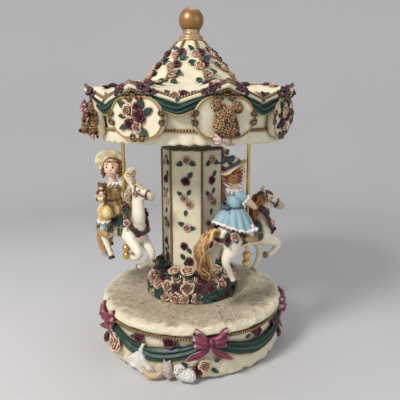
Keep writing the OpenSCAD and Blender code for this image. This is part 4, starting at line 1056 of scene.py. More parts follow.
def build_base_figures():
    """Small reliefs low on the front: a draped cloth, a crescent, a curled rabbit and a lamb."""
    r = BASE_R + 3.0
    cloth = Modeller()
    place = Place.on_wall(r - 1.4, 240, 17, turn=-14)
    u, v = np.linspace(0, 1, 26)[:, None], np.linspace(-1, 1, 33)
    folds = np.cos(v * 8 + 2.4 * u + np.sin(u * 7)) * (0.25 + 0.75 * u)
    bulge = (2.1 + 2.6 * np.sin(math.pi * u ** 0.7)) * np.sqrt(1 - 0.86 * v ** 2)
    front = xyz((1.4 + 15.0 * smooth(u ** 1.1)) * v + 3.0 * u ** 2, 13 - 27 * u + 1.2 * folds * u,
                bulge + 0.9 * folds)
    front[..., 2] += 0.9 * lumps(front, 5, 4, 3)
    back = front[:, ::-1] * [1, 1, 0] - [0, 0, 2]
    hung = place.put(np.hstack([front, back]))
    hung[..., 2] = np.maximum(hung[..., 2], 0.6 + 0.5 * np.hstack([0 * folds, 0 * folds + 1]))
    cloth.strip(hung, mark=np.hstack([0.5 + 0.5 * folds, 0 * folds]))
    cloth.to_object("base_draped_cloth", painted("White drape", (0.8, 0.78, 0.72), reach=0.003, grain=0.3),
                    "base", "base_figures", "relief")

    moon = Figure()
    spot = Place.on_wall(r + 2.6, 248.6, 6.4)
    moon.limb([(-10.5, 3.0, -1.4), (-5.5, -0.4, 0.8), (0, -1.4, 1.4), (5.6, 0.2, 1.0), (10.0, 4.4, -0.6)],
              [1.0, 2.5, 3.1, 2.5, 1.0], spot)
    moon.to_object("base_crescent", painted("Tan relief", (0.55, 0.42, 0.26), reach=0.003), 0.5, "base",
                   "base_figures", "relief")

    rabbit = Figure()
    spot = Place.on_wall(r - 0.6, 257.6, 11.5, turn=6)
    rabbit.limb([(0, -5.2, 1), (0, 0, 1.6), (0.3, 4.2, 1.2)], [3.6, 4.6, 3.4], spot)
    for ear in (((-1.4, 5.4, 2.2), (-2.4, 8.6, 1.6)), ((1.6, 5.4, 2.2), (2.8, 8.2, 1.6))):
        rabbit.limb(ear, [1.5, 0.8], spot)
    rabbit.to_object("base_rabbit", painted("Grey pink fur", (0.5, 0.42, 0.38), reach=0.0012, wash_shade=0.9,
                                                edge=(0.72, 0.66, 0.6), span=(0.2, 0.9)), 0.45, "base",
                     "base_figures", "relief", curl=0.5)

    lamb = Figure()
    spot = Place.on_wall(r, 267.2, 10.4)
    lamb.limb([(-3.5, -1.5, 1), (3.8, -3.0, 1.2)], [5.0, 5.6], spot)
    lamb.limb([(-6.0, 3.6, 2.4), (-7.4, 2.0, 4.4)], [3.9, 2.3], spot)
    lamb.limb([(-3.6, 6.2, 2.2), (-1.4, 5.2, 2.8)], [1.6, 1.0], spot)
    lamb.to_object("base_lamb",
                   painted("White fleece", (0.78, 0.76, 0.7), reach=0.0012, wash_shade=0.8, grain=0.4),
                   0.45, "base", "base_figures", "relief", curl=0.8, curl_size=2.4)
    eye = Modeller()
    for x, y in ((-7.9, 4.6), (-4.6, 4.9)):
        ball(eye, spot.put([x, y, 5.2]), 0.55)
    eye.to_object("base_lamb_eyes", painted("Black paint", (0.01, 0.008, 0.008), roughness=0.2, wash_shade=0),
                  "base",
                  slot="relief")


def build_base_rope():
    model = Modeller()
    degrees = whole_turn(720)
    z = DECK_TOP - 11.5 + 0.5 * np.sin(np.radians(degrees) * 9)
    rope(model, polar(BASE_R + 2.0, degrees, z), radius=1.75, closed=True)
    model.to_object("base_rope_trim", finish("Gold rope"), "base", "base_rope", "gold_trim")


# ---- Rose heap and column ----

HEAP_ROWS = ((0.19, 1.2, 26, 0), (0.48, -0.4, 24, 18), (0.75, -4.6, 18, 40), (0.97, -7.0, 15, 62))


def build_heap():
    """Mound of roses and leaves round the foot of the column."""
    mound = Modeller()
    grid = np.array([polar(HEAP_R + s, whole_turn(180), DECK_TOP - 0.2 + (HEAP_TOP - DECK_TOP) * h) for s,
                     h in
                     ((0, 0.0), (1.0, 0.2), (0, 0.4), (-2, 0.58), (-5, 0.76), (-8.5, 0.92), (-12.8, 0.99),
                      (-14.5, 0.4), (-14.5, 0.0))])
    bumps = lumps(grid, 4, 7)
    grid[:7, :, 2] += 0.7 * bumps[:7]
    grid[0, :, 2] = DECK_TOP - 0.2
    mound.lathe(grid)
    mound.to_object("heap_mound", painted("Heap brown", (0.02, 0.022, 0.014), 0.6), "base",
                    "rose_heap", "heap_brown")
    beds = Beds()
    rng = np.random.default_rng(42)
    size = size_mm("heap_rose")
    for j, (h, out, count, tilt) in enumerate(HEAP_ROWS):
        for k in range(count):
            degrees = (k + j * 0.5) * 360 / count + 4 * j + rng.uniform(-2, 2)
            z = DECK_TOP + h * (HEAP_TOP - DECK_TOP) + rng.uniform(-0.9, 0.9)
            seed = j * 100 + k
            place = Place.on_wall(42 + out - 1.6, degrees, z, lean=tilt + 6 + rng.uniform(-8, 8))
            draw = rng.uniform()
            if draw < 0.17:
                for turn in (20, 155, 265):
                    beds.plant("leaf", place.shifted(z=1.4, turn=turn + rng.uniform(-20, 20)),
                               rng.uniform(9.6, 11.2),
                               seed + turn, width=0.36)
                continue
            kind = "dark" if draw < 0.55 else "pale" if draw < 0.9 else "blush"
            beds.plant(kind, place, size * rng.uniform(0.88, 1.12), seed)
            for n in range(3):
                beds.plant("leaf", place.shifted(z=-0.2, turn=rng.uniform(0, 360)), rng.uniform(9.0, 10.6),
                           seed + n,
                           width=0.34, lift=0.1)
    beds.to_objects("base", dark=("heap_burgundy", "heap_roses_burgundy"),
                    pale=("heap_peach", "heap_roses_peach"),
                    blush=("heap_blush", "heap_roses_peach"), leaf=("heap_foliage", "heap_leaves"))


def hex_ring(radius, per_face=16):
    """Points round a hexagon whose corners stand at the column's turn, evenly along each face."""
    t = np.arange(per_face) / per_face
    corners = [polar(radius, COLUMN_TURN + 60 * k, 0.0)[:2] for k in range(7)]
    return np.concatenate([corners[k] + (corners[k + 1] - corners[k]) * t[:, None] for k in range(6)])


def build_column():
    """Six cream panels with a slightly uneven cast face, and the dark band round their top, a painted shadow
    under the canopy.
    """
    heights = np.concatenate([[DECK_TOP], np.linspace(HEAP_TOP - 6, COLUMN_TOP - 1.2, 64)])
    flat = hex_ring(COLUMN_R)
    panel = np.sin(np.arange(len(flat)) % 16 / 16 * math.pi)
    ring = flat * (1 - 0.016 * smooth(panel * 1.6))[:, None]
    grid = np.array([xyz(*ring.T, z) for z in heights])
    grid += unit(xyz(*flat.T, 0)) * (0.22 * lumps(grid, 9, 11))[..., None]
    inner = [xyz(*hex_ring(COLUMN_R - 4).T, z) for z in (COLUMN_TOP - 1.2, DECK_TOP)]
    model = Modeller()
    model.lathe(np.vstack([grid, inner]))
    model.to_object("column_panels", finish("Cream resin"), "base", "column", "cream")

    # Dark band round the column's top, whose dark brown is a painted shadow under the canopy
    band = Modeller()
    fine = hex_ring(COLUMN_R + 0.6, 40)
    a = np.arange(len(fine)) / 40 * math.pi
    drop = 1.2 + 0.5 * np.abs(np.sin(a * 3)) + 0.3 * np.abs(np.sin(a * 5 + 1))
    rows = [xyz(*(fine * s).T, COLUMN_TOP - d) for s, d in
            ((0.2, 0), (0.6, 0), (0.98, 0), (1.0, 0.4), (1.005, 0.5 * drop + 0.4), (0.995, drop + 0.3),
             (0.972, drop + 0.3), (0.965, 1.1), (0.2, 1.1))]
    band.lathe(np.array(rows))
    band.to_object("column_top_shadow_band", painted("Painted shadow brown", (0.075, 0.04, 0.018), 0.42, grain=0.4,
                                                  edge=(0.2, 0.11, 0.04), wash_shade=0.4), "base", "column_cap",
                   "column_top")

    trim = Modeller()
    for k in range(6):
        line = polar(COLUMN_R + 0.2, COLUMN_TURN + 60 * k, np.linspace(HEAP_TOP - 5, COLUMN_TOP - 1.4, 200))
        rope(trim, line, radius=1.75)
    trim.to_object("column_rope_trim", finish("Gold rope"), "base", "column_rope", "gold_trim")


# Sprays down each column panel: share of the way down, sideways, radius or length, kind, turn
SPRIGS = (
    (0.06, 0.0, 3.3, "pale", 0), (0.075, -2.6, 6.0, "leaf", 205), (0.07, 2.6, 6.0, "leaf", -28),
    (0.23, -0.5, 3.3, "dark", 0), (0.2, 1.6, 5.6, "leaf", 50), (0.37, -2.7, 3.1, "blush", 0),
    (0.42, 2.6, 3.2, "pale", 0), (0.345, 1.0, 5.0, "leaf", 60), (0.35, -4.2, 5.0, "leaf", 140),
    (0.47, -0.4, 5.0, "leaf", 262), (0.62, 0.2, 3.2, "blush", 0), (0.6, -2.0, 5.6, "leaf", 160),
    (0.63, 2.2, 5.4, "leaf", 15), (0.78, -2.4, 3.0, "dark", 0), (0.8, 1.0, 5.0, "leaf", -55),
    (0.91, 2.6, 3.4, "dark", 0), (0.9, -2.2, 5.6, "leaf", 120), (0.955, -1.4, 5.6, "leaf", 75))


def build_column_flowers():
    """Sprays of roses and leaves down every panel."""
    beds = Beds()
    tall = COLUMN_TOP - HEAP_TOP - 2
    for face in range(6):
        for j, (down, side, size, kind, turn) in enumerate(SPRIGS):
            place = Place.on_wall(COLUMN_FACE - 0.75, COLUMN_TURN + 30 + 60 * face,
                                  COLUMN_TOP - 4 - tall * down)
            place = place.shifted(x=side, turn=turn)
            if kind == "leaf":
                beds.plant(kind, place.shifted(z=-0.2), size * 1.18, face * 30 + j, width=0.34)
            else:
                beds.plant(kind, place, size * 1.16, face * 30 + j)
    beds.to_objects("base", dark=("column_roses_burgundy", "column_roses"),
                    pale=("column_roses_peach", "column_roses"),
                    blush=("column_roses_blush", "column_roses"), leaf=("column_foliage", "column_leaves"))


# ---- Canopy ----

def gable_share(s):
    """0 at a gable, 1 at a low point; s counts sectors round the canopy."""
    p = np.mod(s, 1.0)
    return np.where(p <= 0.5, 2 * p, 2 - 2 * p)


def sector_degrees(s):
    return CANOPY_TURN + np.asarray(s, float) * SECTOR


def eave_point(s, inset, z):
    """A point on the straight line from a gable peak to the next low point."""
    p, whole = np.mod(s, 1.0), np.floor(s)
    rising = p <= 0.5
    low = polar(EAVE_R - inset, sector_degrees(whole + 0.5), 0.0)
    start = np.where(rising[..., None], polar(PEAK_R - inset, sector_degrees(whole), 0.0), low)
    end = np.where(rising[..., None], low, polar(PEAK_R - inset, sector_degrees(whole + 1), 0.0))
    f = np.where(rising, p * 2, p * 2 - 1)[..., None]
    made = start + (end - start) * f
    made[..., 2] = z
    return made


def octagon_point(s, radius, z):
    away = np.radians((np.mod(s, 1.0) - 0.5) * SECTOR)
    return polar(radius * math.cos(math.radians(SECTOR / 2)) / np.cos(away), sector_degrees(s), z)


def build_canopy_shell():
    """Cream drum with a scalloped edge, gabled eaves and a ribbed tent roof."""
    count = SECTORS * 64
    s = np.arange(count) / 64
    t = gable_share(s)
    degrees = sector_degrees(s)
    tongue = np.abs(np.sin(6 * math.pi * s + 0.5 * lumps(polar(CANOPY_R, degrees, 0), 20, 6)))
    notch = 1.9 * (1 - tongue ** 0.6)
    eave = mix(PEAK_Z, EAVE_Z, t)
    soffit = mix(PEAK_R - 9.5, EAVE_R - 4, t)
    # Rings of the profile from the wall's foot over the roof and back inside: steps to the next, height mark
    key = [(polar(CANOPY_R + 0.1 + 0.9 * tongue, degrees, CANOPY_Z + notch), 8, 0.0),
           (polar(CANOPY_R + 1.5, degrees, ROPE_LINE), 9, 0.0),
           (polar(soffit, degrees, eave - 5), 3, 0.0), (eave_point(s, 0.7, eave - 2.6), 3, 0.6),
           (eave_point(s, 0.1, eave - 0.4), 2, 1.0), (eave_point(s, 1.4, eave + 0.1), 14, 0.8),
           (octagon_point(s, TENT_R, TENT_Z), 18, 0.0), (octagon_point(s, TIP_R, ROOF_Z), 2, 0.0),
           (polar(5.0, degrees, ROOF_Z), 1, 0.0), (polar(5.0, degrees, ROOF_Z - 3), 1, 0.0),
           (octagon_point(s, TIP_R - 3, ROOF_Z - 3), 4, 0.0),
           (octagon_point(s, TENT_R - 3, TENT_Z - 3), 4, 0.0),
           (polar(soffit - 3, degrees, eave - 5), 2, 0.0),
           (polar(CANOPY_R - 1.5, degrees, ROPE_LINE), 3, 0.0),
           (polar(CANOPY_R - 2.7, degrees, CANOPY_Z + notch), 1, 0.0)]
    rows, marks = [], []
    for (start, steps, level), (end, _, after) in zip(key, key[1:] + key[:1]):
        for k in range(steps):
            f = k / steps
            rows.append(start + (end - start) * f)
            marks.append(np.full(count, level + (after - level) * f))
    rows = np.array(rows)
    roof = slice(25, 57)
    between = np.sin(math.pi * np.mod(s, 1.0))
    rows[roof, :, 2] -= 0.8 * between * np.sin(np.linspace(0.1, math.pi - 0.1, 32))[:, None]
    bumps = lumps(rows[:60, ::4], 9, 21, 3)
    rows[:60] += unit(rows[:60] - [0, 0, 225]) * (0.3 * np.repeat(bumps, 4, 1))[..., None]
    model = Modeller()
    model.lathe(rows, mark=np.array(marks))
    model.to_object("canopy_tent", finish("Cream resin"), "carousel", "canopy_shell", "cream")


def roof_place(s, r, z, slope, side, lift, climb=0.0):
    """A spot on a roof face that leans back by slope degrees; its y axis points up the face."""
    slope = math.radians(slope)
    ahead = polar(1.0, sector_degrees(s), 0.0)
    across = np.array([-ahead[1], ahead[0], 0.0])
    normal = ahead * math.sin(slope) + [0, 0, math.cos(slope)]
    up = [0, 0, math.sin(slope)] - ahead * math.cos(slope)
    return Place(ahead * r + [0, 0, z] + across * side + up * climb + normal * lift, across, up, normal)


def rib_point(s, f, side=0.0, lift=0.0):
    """A spot on the roof over rib s: f is 0 at the tip, 1 at the tent's foot and 2 at the gable's peak."""
    r = mix(TIP_R, TENT_R, f) if f <= 1 else mix(TENT_R, PEAK_R, f - 1)
    z = mix(ROOF_Z, TENT_Z, f) if f <= 1 else mix(TENT_Z, PEAK_Z, f - 1)
    return roof_place(s, r, z, 49 if f <= 1 else 4, side, lift - abs(side) * 0.26)


def build_canopy_ropes():
    """Rope trim down the ribs, along the zigzag of the eaves, and round the wall."""
    model = Modeller()
    for s in range(SECTORS):
        head = rib_point(s, 0.0, lift=-0.2).origin
        foot = rib_point(s, 1.0, lift=0.6).origin
        rope(model, bezier([head, mix(head, foot, 0.5) + [0, 0, -0.4], foot], 30), radius=1.75)
    rope(model, polar(CANOPY_R + 1.6, whole_turn(720), ROPE_LINE - 2.6), radius=1.6, closed=True)
    s = np.arange(1440) / 180
    eave = mix(PEAK_Z, EAVE_Z, gable_share(s))
    rope(model, eave_point(s, 2.0, eave + 0.9), closed=True)
    rope(model, eave_point(s, 3.2, eave - 4.4), radius=0.9, closed=True)
    model.to_object("canopy_rope_trim", finish("Gold rope"), "carousel", "canopy_rope", "gold_trim")


def build_canopy_swag():
    """Green swag tied up under each gable, with a gold hem."""
    s = np.arange(800) / 100
    t = 1 - gable_share(s)
    sag = (np.sqrt(t * t + 0.004) - 0.06) / 0.94
    r = mix(EAVE_R - 1.4, PEAK_R - 8.4, t)
    z = mix(EAVE_Z - 7.2, PEAK_Z - 3.8, sag)
    path = polar(r, sector_degrees(s), z)
    out = polar(1.0, sector_degrees(s), 0.12)
    swag, hem = Modeller(), Modeller()
    swag_band(swag, hem, path, out, 1.4 + 3.2 * (1 - smooth((t - 0.25) / 0.75)), seed=3)
    swag.to_object("canopy_swag_cloth", finish("Green swag"), "carousel", "canopy_swag", "green_cloth")
    hem.to_object("canopy_swag_hem", finish("Swag hem"), slot="gold_trim")


def crumple(model, place, size, seed):
    """A knot of crumpled ribbon: folded loops that stand out at uneven angles."""
    rng = np.random.default_rng(seed)
    for k in range(6):
        angle = k * TAU / 6 + rng.uniform(-0.4, 0.4)
        reach, high = size * rng.uniform(0.75, 1.1), size * rng.uniform(0.35, 0.65)
        x, y = math.cos(angle), math.sin(angle)
        path = bezier([[0, 0, 0.6], [x * reach * 0.6, y * reach * 0.6, high],
                       [x * reach, y * reach, high * 0.6],
                       [x * reach * 0.8, y * reach * 0.8, 0.2], [x * 0.2, y * 0.2, high * 0.8]], 16)
        across = np.array([-y, x, rng.uniform(-0.5, 0.5)]) @ place.axes
        ribbon(model, place.put(path), size * np.interp(np.arange(16), (0, 6, 15), (0.35, 0.8, 0.4)),
               np.broadcast_to(across, (16, 3)), 0.8, rng.uniform())


def build_canopy_ribbons():
    """A dusty ribbon over each gable, gathered into a dark crumpled knot on either shoulder."""
    # Its lilac edge colour on the edges of the folded loops is a painted highlight.
    plum = painted("Plum ribbon", (0.07, 0.01, 0.03), 0.32, 1.0, 0.003, 0.5, 0.2, (0.42, 0.2, 0.26),
                   (0.7, 1.3),
                   (0.012, 0.002, 0.005))
    dusty = painted("Dusty ribbon", (0.33, 0.22, 0.19), 0.42, 1.0, 0.003, 0.4, 0.2, (0.16, 0.05, 0.07),
                    (0.45, 0.9),
                    (0.05, 0.015, 0.02))
    knots, band = Modeller(), Modeller()
    for gable in range(SECTORS):
        s = gable + np.linspace(-0.2, 0.2, 50)
        path = eave_point(s, 2.0, mix(PEAK_Z, EAVE_Z, gable_share(s)) + 0.6)
        path[:, 2] += 0.9 * lumps(path, 4, gable)
        twist = 0.5 + 0.7 * lumps(path, 6, gable + 3)
        ribbon(band, path, 5.4 + 1.6 * lumps(path, 4, gable + 9), polar(twist, sector_degrees(s), 0.85), 1.6)
        for side in (-1, 1):
            for j, (shift, size, up) in enumerate(((0.17, 3.9, 0.0), (0.24, 2.8, -0.6), (0.11, 2.8, 0.4))):
                at = gable + side * shift
                spot = eave_point(np.array([at]), 1.4, mix(PEAK_Z, EAVE_Z, gable_share(at)) + up)[0]
                facing = polar(1.0, sector_degrees(at), 0.7 - 0.2 * j)
                crumple(knots, Place.facing(spot, facing), size, 600 + gable * 10 + 3 * j + side)
    knots.to_object("canopy_rosettes", plum, slot="ribbon")
    band.to_object("canopy_ribbons", dusty, slot="ribbon")


# Flowers down each rib: share of the way, sideways, size, kind, turn
RIB_FLOWERS = (
    (0.3, 1.8, 3.9, "dark", 0), (0.33, -2.6, 3.5, "blush", 0), (0.62, -2.4, 4.0, "pale", 0),
    (0.57, 2.4, 3.6, "dark", 0), (0.8, 3.0, 3.8, "blush", 0), (0.46, 3.6, 6.6, "leaf", 40),
    (0.5, -4.4, 6.6, "leaf", 205), (0.22, -3.0, 5.4, "leaf", 150), (0.72, 4.6, 6.4, "leaf", -20),
    (0.93, 4.2, 6.8, "leaf", -30), (0.9, -3.6, 6.2, "leaf", 215), (1.16, -1.6, 3.4, "dark", 0),
    (1.3, 2.2, 3.5, "pale", 0), (1.52, 1.6, 3.7, "dark", 0), (1.66, -2.6, 3.4, "pale", 0),
    (1.24, -3.4, 6.8, "leaf", 165), (1.4, 3.6, 6.8, "leaf", 20), (1.6, 4.0, 6.4, "leaf", -30))
LOW_FLOWERS = (
    (3.6, 2.6, 3.7, "dark", 0), (-3.2, 1.6, 3.7, "pale", 0), (0.4, 6.6, 3.2, "blush", 0),
    (7.2, 4.0, 6.2, "leaf", 20), (-6.4, 4.4, 6.2, "leaf", 150), (0.2, -0.6, 5.4, "leaf", 250))


def build_canopy_flowers():
    """Roses and leaves down the ribs, along the ridges and at the eave's low points."""
    beds = Beds()
    for s in range(SECTORS):
        for j, (f, side, size, kind, turn) in enumerate(RIB_FLOWERS):
            place = rib_point(s, f, side, lift=-0.2)
            seed = 400 + s * 40 + j
            if kind == "leaf":
                beds.plant(kind, place.shifted(turn=turn + 10 * math.sin(seed)), size * 1.2, seed, width=0.33)
            else:
                beds.plant(kind, place, size * 1.12, seed, height=0.9)
        for j, (side, up, size, kind, turn) in enumerate(LOW_FLOWERS):
            place, seed = roof_place(s + 0.5, EAVE_R - 1, EAVE_Z + 0.2, 18.5, side, 1.6,
                                     up + 2.4), 800 + s * 10 + j
            place = Place.facing(place.origin, place.axes[2] + 1.5 * unit([*place.origin[:2], 0]))
            if kind == "leaf":
                beds.plant(kind, place.shifted(turn=turn), size, seed)
            else:
                beds.plant(kind, place, size, seed, height=0.85)
    beds.to_objects(dark=("roof_roses_burgundy", "canopy_roses"), pale=("roof_roses_peach", "canopy_roses"),
                    blush=("roof_roses_blush", "canopy_roses"), leaf=("roof_foliage", "canopy_leaves"))


# ---- Medallions ----

def medallion_place(i):
    return Place.on_wall(MEDAL_R - 5, CANOPY_TURN + i * SECTOR, MEDAL_Z - 1.6, lean=-7)


def stadium(inset, z):
    """Outline of a medallion at height z, drawn in by inset millimetres."""
    phi, r = spin(96), 16.5 - inset
    return xyz(r * np.cos(phi) + 8 * np.clip(np.cos(phi) * 4, -1, 1), r * np.sin(phi), z)


def scroll(model, place, size):
    """A pair of curling scrolls that meet in the middle."""
    t = np.linspace(0, 1, 40)
    for side in (-1, 1):
        angle = math.pi * (0.1 + 2.3 * t)
        r = size * 0.42 * (1 - 0.72 * t)
        path = xyz(side * (size * 0.45 - r * np.cos(angle)), r * np.sin(angle) - size * 0.06, 0.5 + 0.4 * t)
        tube(model, place.put(path), mix(1.05, 0.65, t), up=place.axes[2],
             mark=np.repeat(0.45 + 0.4 * np.sin(t * 40), 8))


def build_medallions():
    """Eight plaques with a gilt rim and scrolls."""
    plaques, gilt = Modeller(), Modeller()
    rows = [(0, -0.5, 0.0), (0, 2.6, 0.0), (-0.2, 4.4, 0.2), (0.1, 5.5, 1.0), (0.8, 5.9, 1.0),
            (1.5, 5.6, 1.0),
            (2.0, 4.9, 0.4), (2.7, 4.75, 0.0), (6, 5.0, 0.0), (11, 5.25, 0.0), (15, 5.3, 0.0),
            (16.2, 5.3, 0.0)]
    for i in range(SECTORS):
        place = medallion_place(i)
        grid = np.array([stadium(inset, z) for inset, z, _ in rows])
        plaques.strip(place.put(grid), mark=np.repeat([level for _, _, level in rows], 96))
        for x, y, turn, size in ((0, 15.8, 0, 9.5), (0, -15.4, 180, 8.5), (23.6, 0, -90, 7),
                                 (-23.6, 0, 90, 7)):
            scroll(gilt, place.shifted(x=x, y=y, z=5.0, turn=turn), size)
    plaques.to_object("medallion_plaques", finish("Plaque cream"), "carousel", "medallions", "plaque")
    gilt.to_object("medallion_scrolls", finish("Gold rope"), slot="gold_trim")


# Bouquet on every second medallion: x, y, size, kind, turn
BOUQUET = (
    (-5.2, 5.6, 5.6, "pale", 0), (4.6, 1.6, 5.2, "dark", 0), (-6.0, -4.6, 4.2, "dark", 0),
    (1.4, -6.8, 4.4, "blush", 0),
    (2.6, 8.6, 3.4, "dark", 0), (-8.6, 7.4, 8.6, "leaf", 135), (8.0, 2.6, 9.4, "leaf", 30),
    (-9.0, -5.6, 7.4, "leaf", 205),
    (4.8, -8.4, 7.6, "leaf", -45), (6.0, 7.0, 7.0, "leaf", 70), (-9.4, 1.2, 6.4, "leaf", 175))


def build_bouquets():
    """Roses and leaves on every second medallion."""
    beds = Beds()
    for i in range(1, SECTORS, 2):
        for j, (x, y, size, kind, turn) in enumerate(BOUQUET):
            beds.plant(kind, medallion_place(i).shifted(x, y, 5.2, turn), size, 1000 + i * 20 + j)
    beds.to_objects(dark=("bouquet_burgundy", "medallion_roses"), pale=("bouquet_peach", "medallion_roses"),
                    blush=("bouquet_blush", "medallion_roses"), leaf=("bouquet_leaves", "medallion_roses"))


def build_bears():
    """Shaggy bear heads in relief, looking out and down, each with a ribbon under its chin."""
    places = [medallion_place(i).shifted(z=2.0) for i in range(0, SECTORS, 2)]
    head = Figure()
    head.limb([(-0.8, 1.6, 4.0), (-0.4, -3.0, 6.0), (1.4, -7.6, 6.6)], [7.4, 8.4, 7.0])
    for spot in ((-5.0, -6.4, 5.0), (6.0, -7.2, 5.0)):
        head.limb([spot], [4.4])
    head.limb([(1.8, -6.2, 10.0), (4.4, -9.8, 14.4)], [5.0, 3.3])
    head.limb([(-1.6, 3.6, 8.0), (1.4, -3.4, 11.4)], [4.2, 3.0])
    for spot in ((-7.4, 9.4, 4.0), (9.2, 7.6, 4.0)):
        head.limb([spot], [4.0])
    head.to_object("bear_heads", finish("Bear fur"), 0.6, "carousel", "bear_heads", "fur", curl=0.6,
                   curl_size=1.5,
                   places=places)
    points, normals, _ = head.skin(0.9)
    clear = np.ones(len(points), bool)
    for spot, reach in (((-3.0, -0.6, 13.4), 2.3), ((5.2, -1.6, 12.6), 2.3), ((5.0, -10.6, 17.6), 5.2)):
        clear &= np.linalg.norm(points - spot, axis=1) > reach
    fur = Modeller()
    tufts(fur, places, points[clear], normals[clear], 1.2, 2.3, np.array([4.2, -10.0, 16.6]))
    fur.to_object("bear_fur", finish("Bear fur"), slot="fur")
    dark, inner, satin = Modeller(), Modeller(), Modeller()
    for place in places:
        ball(dark, (-3.0, -0.6, 13.9), 1.45, place=place)
        ball(dark, (5.2, -1.6, 12.8), 1.45, place=place)
        ball(dark, (5.2, -10.0, 17.8), 1.9, (1.2, 0.9, 0.7), place=place)
        for x, y in ((-7.6, 9.4), (9.4, 7.6)):
            ball(inner, (x, y, 7.6), 2.3, (1, 1, 0.5), place=place)
        bow(satin, place.shifted(x=-2.4, y=-16.2, z=6.6), 16, droop=0.5, seed=55)
    dark.to_object("bear_eyes_and_noses", painted("Black gloss", (0.012, 0.009, 0.008), 0.18, wash_shade=0.0),
                   slot="fur")
    inner.to_object("bear_ears", painted("Ear brown", (0.2, 0.085, 0.04), 0.6), slot="fur")
    satin.to_object("bear_ribbons",
                    painted("Pale pink satin", (0.68, 0.47, 0.42), 0.42, edge=(0.8, 0.68, 0.6),
                                                reach=0.002), slot="ribbon")
    hat, bloom = Modeller(), Modeller()
    spot = medallion_place(4).shifted(y=7.4, z=10.5, turn=-12)
    bow(hat, spot, 23, droop=0.7, seed=71)
    hat.to_object("bear_hat_ribbon", finish("Ribbon satin"), slot="ribbon")
    rose(bloom, spot.shifted(x=3, y=1, z=2.5), 3.6, 72)
    bloom.to_object("bear_hat_rose", finish("Blush rose"), slot="peach")


def build_finial():
    """Turned collar and neck under a satin ball."""
    low, high = node_mm("finial")
    ball_r = (high[0] - low[0]) / 2
    centre = high[2] - ball_r
    collar = [(4, -0.1), (11.3, -0.1), (11.7, 0.7), (11.7, 2.0), (11.1, 2.7), (10.4, 3.1), (10.8, 3.8),
              (10.7, 4.7),
              (10.0, 5.5), (8.8, 6.0), (8.2, 6.4), (7.9, 7.2), (7.7, 8.6), (7.9, 9.6), (8.0, 10.2), (5, 11.0)]
    model = Modeller()
    model.strip([polar(r, whole_turn(96), ROOF_Z + z) for r, z in collar])
    model.to_object("finial_turned_collar", pale_gold(), "carousel", "finial_collar", "finial_cream")
    model = Modeller()
    model.strip([polar(ball_r * math.cos(x), whole_turn(96), centre + ball_r * math.sin(x))
                 for x in np.linspace(-0.8, math.pi / 2 - 0.015, 40)])
    model.to_object("finial_ball", antique_gold(), "carousel", "finial", "finial_gold")



# ---- Horses and riders ----

HERE = Place([0, 0, 0], [1, 0, 0], [0, 1, 0], [0, 0, 1])
HORSE_TURN = (25, -16, 6)
HORSE_LOOK = (14, -30, 8)
HORSE_NOD = (11, -4, 3)
HORSE_NECK = (35, 28.5, 31)
HORSE_POLL = (20.5, 19.5, 25)
RIDER_LOOK = (-50, -30, 15)
SEATS = ((-14, -4, 15), (-15.5, 0, 15), (-15.5, 0, 15))
# Shoulder, elbow, wrist and hand of each rider's right and left arm
ARMS = (
    (((1, -6.4, 24.5), (-1.5, -12.6, 19), (5.6, -17.2, 15.4), (8.4, -16.4, 15.2)),
     ((1, 6.4, 24.5), (6, 9.6, 21.5), (11.2, 5.8, 27.6), (13.2, 4.6, 29.6))),
    (((1, -6.0, 23.5), (8.4, -9.8, 17), (16.2, -7.6, 11.6), (18.6, -6.6, 10.4)),
     ((1, 6.4, 23.5), (6.4, 10.0, 17.5), (12.6, 5.6, 14.6), (14.4, 4.0, 14.8))),
    (((1, -6.4, 24.5), (3.5, -10, 19), (11, -7, 14.5), (13.4, -4.6, 14.8)),
     ((1, 6.4, 24.5), (3.5, 10, 19), (11, 7, 14.5), (13.4, 4.6, 14.8))))
# Hock, pastern, fetlock and toe of each horse's right and left hind leg
HIND = (
    (((-27, -6.4, -12.5), (-21.5, -7, -21), (-17.6, -7, -27.4), (-14.8, -7, -32.6)),
     ((-31.5, 6.4, -12), (-36, 7, -16.5), (-38.5, 7, -21), (-38.5, 7, -26.5))),
    (((-28.4, -6.6, -18.5), (-25.2, -7, -27.0), (-21.6, -7, -34.2), (-19.2, -7, -39.6)),
     ((-32.5, 6.4, -16), (-34, 7, -25), (-33.6, 7, -31), (-32, 7, -36.6))),
    (((-28.4, -6.6, -18.5), (-25.2, -7, -27.0), (-21.6, -7, -34.2), (-19.2, -7, -39.6)),
     ((-32.5, 6.4, -16), (-34, 7, -25), (-33.6, 7, -31), (-32, 7, -36.6))))
# Elbow, forearm, knee, cannon, fetlock and toe of each horse's left and right front leg
REACH = (((13, 5.4, -3), (22, 6.2, -11.5), (31, 7, -19.6), (29.4, 7, -27), (24.0, 7, -36.0), (20.4, 7, -41)),
         ((13, -5.4, -3), (21.5, -6.4, -8.6), (29.4, -7, -14), (24.6, -7, -19.6), (17.2, -7, -24.5),
          (12.0, -7, -24)))
FRONT = ((((13, 5.4, -3), (22, 6.2, -11.5), (30, 7, -20), (25.4, 6.6, -27.5), (15.5, 5.6, -35),
           (10.6, 5.2, -37.6)),
          ((13, -5.4, -3), (22, -6.4, -10), (29.5, -7, -17), (26, -7, -21.4), (20, -6.5, -23),
           (15.6, -6, -22))),
         (((13, 5.4, -3), (19, 6.2, -12), (22.5, 7, -21.5), (20, 7, -28.5), (16.4, 7, -35.4),
           (13.6, 7, -39.6)),
          ((13, -5.4, -3), (22.5, -6.4, -7.2), (31.5, -7, -11.4), (27.5, -7, -17.4), (20.6, -7, -21),
           (15.6, -7, -20.4))),
         REACH)


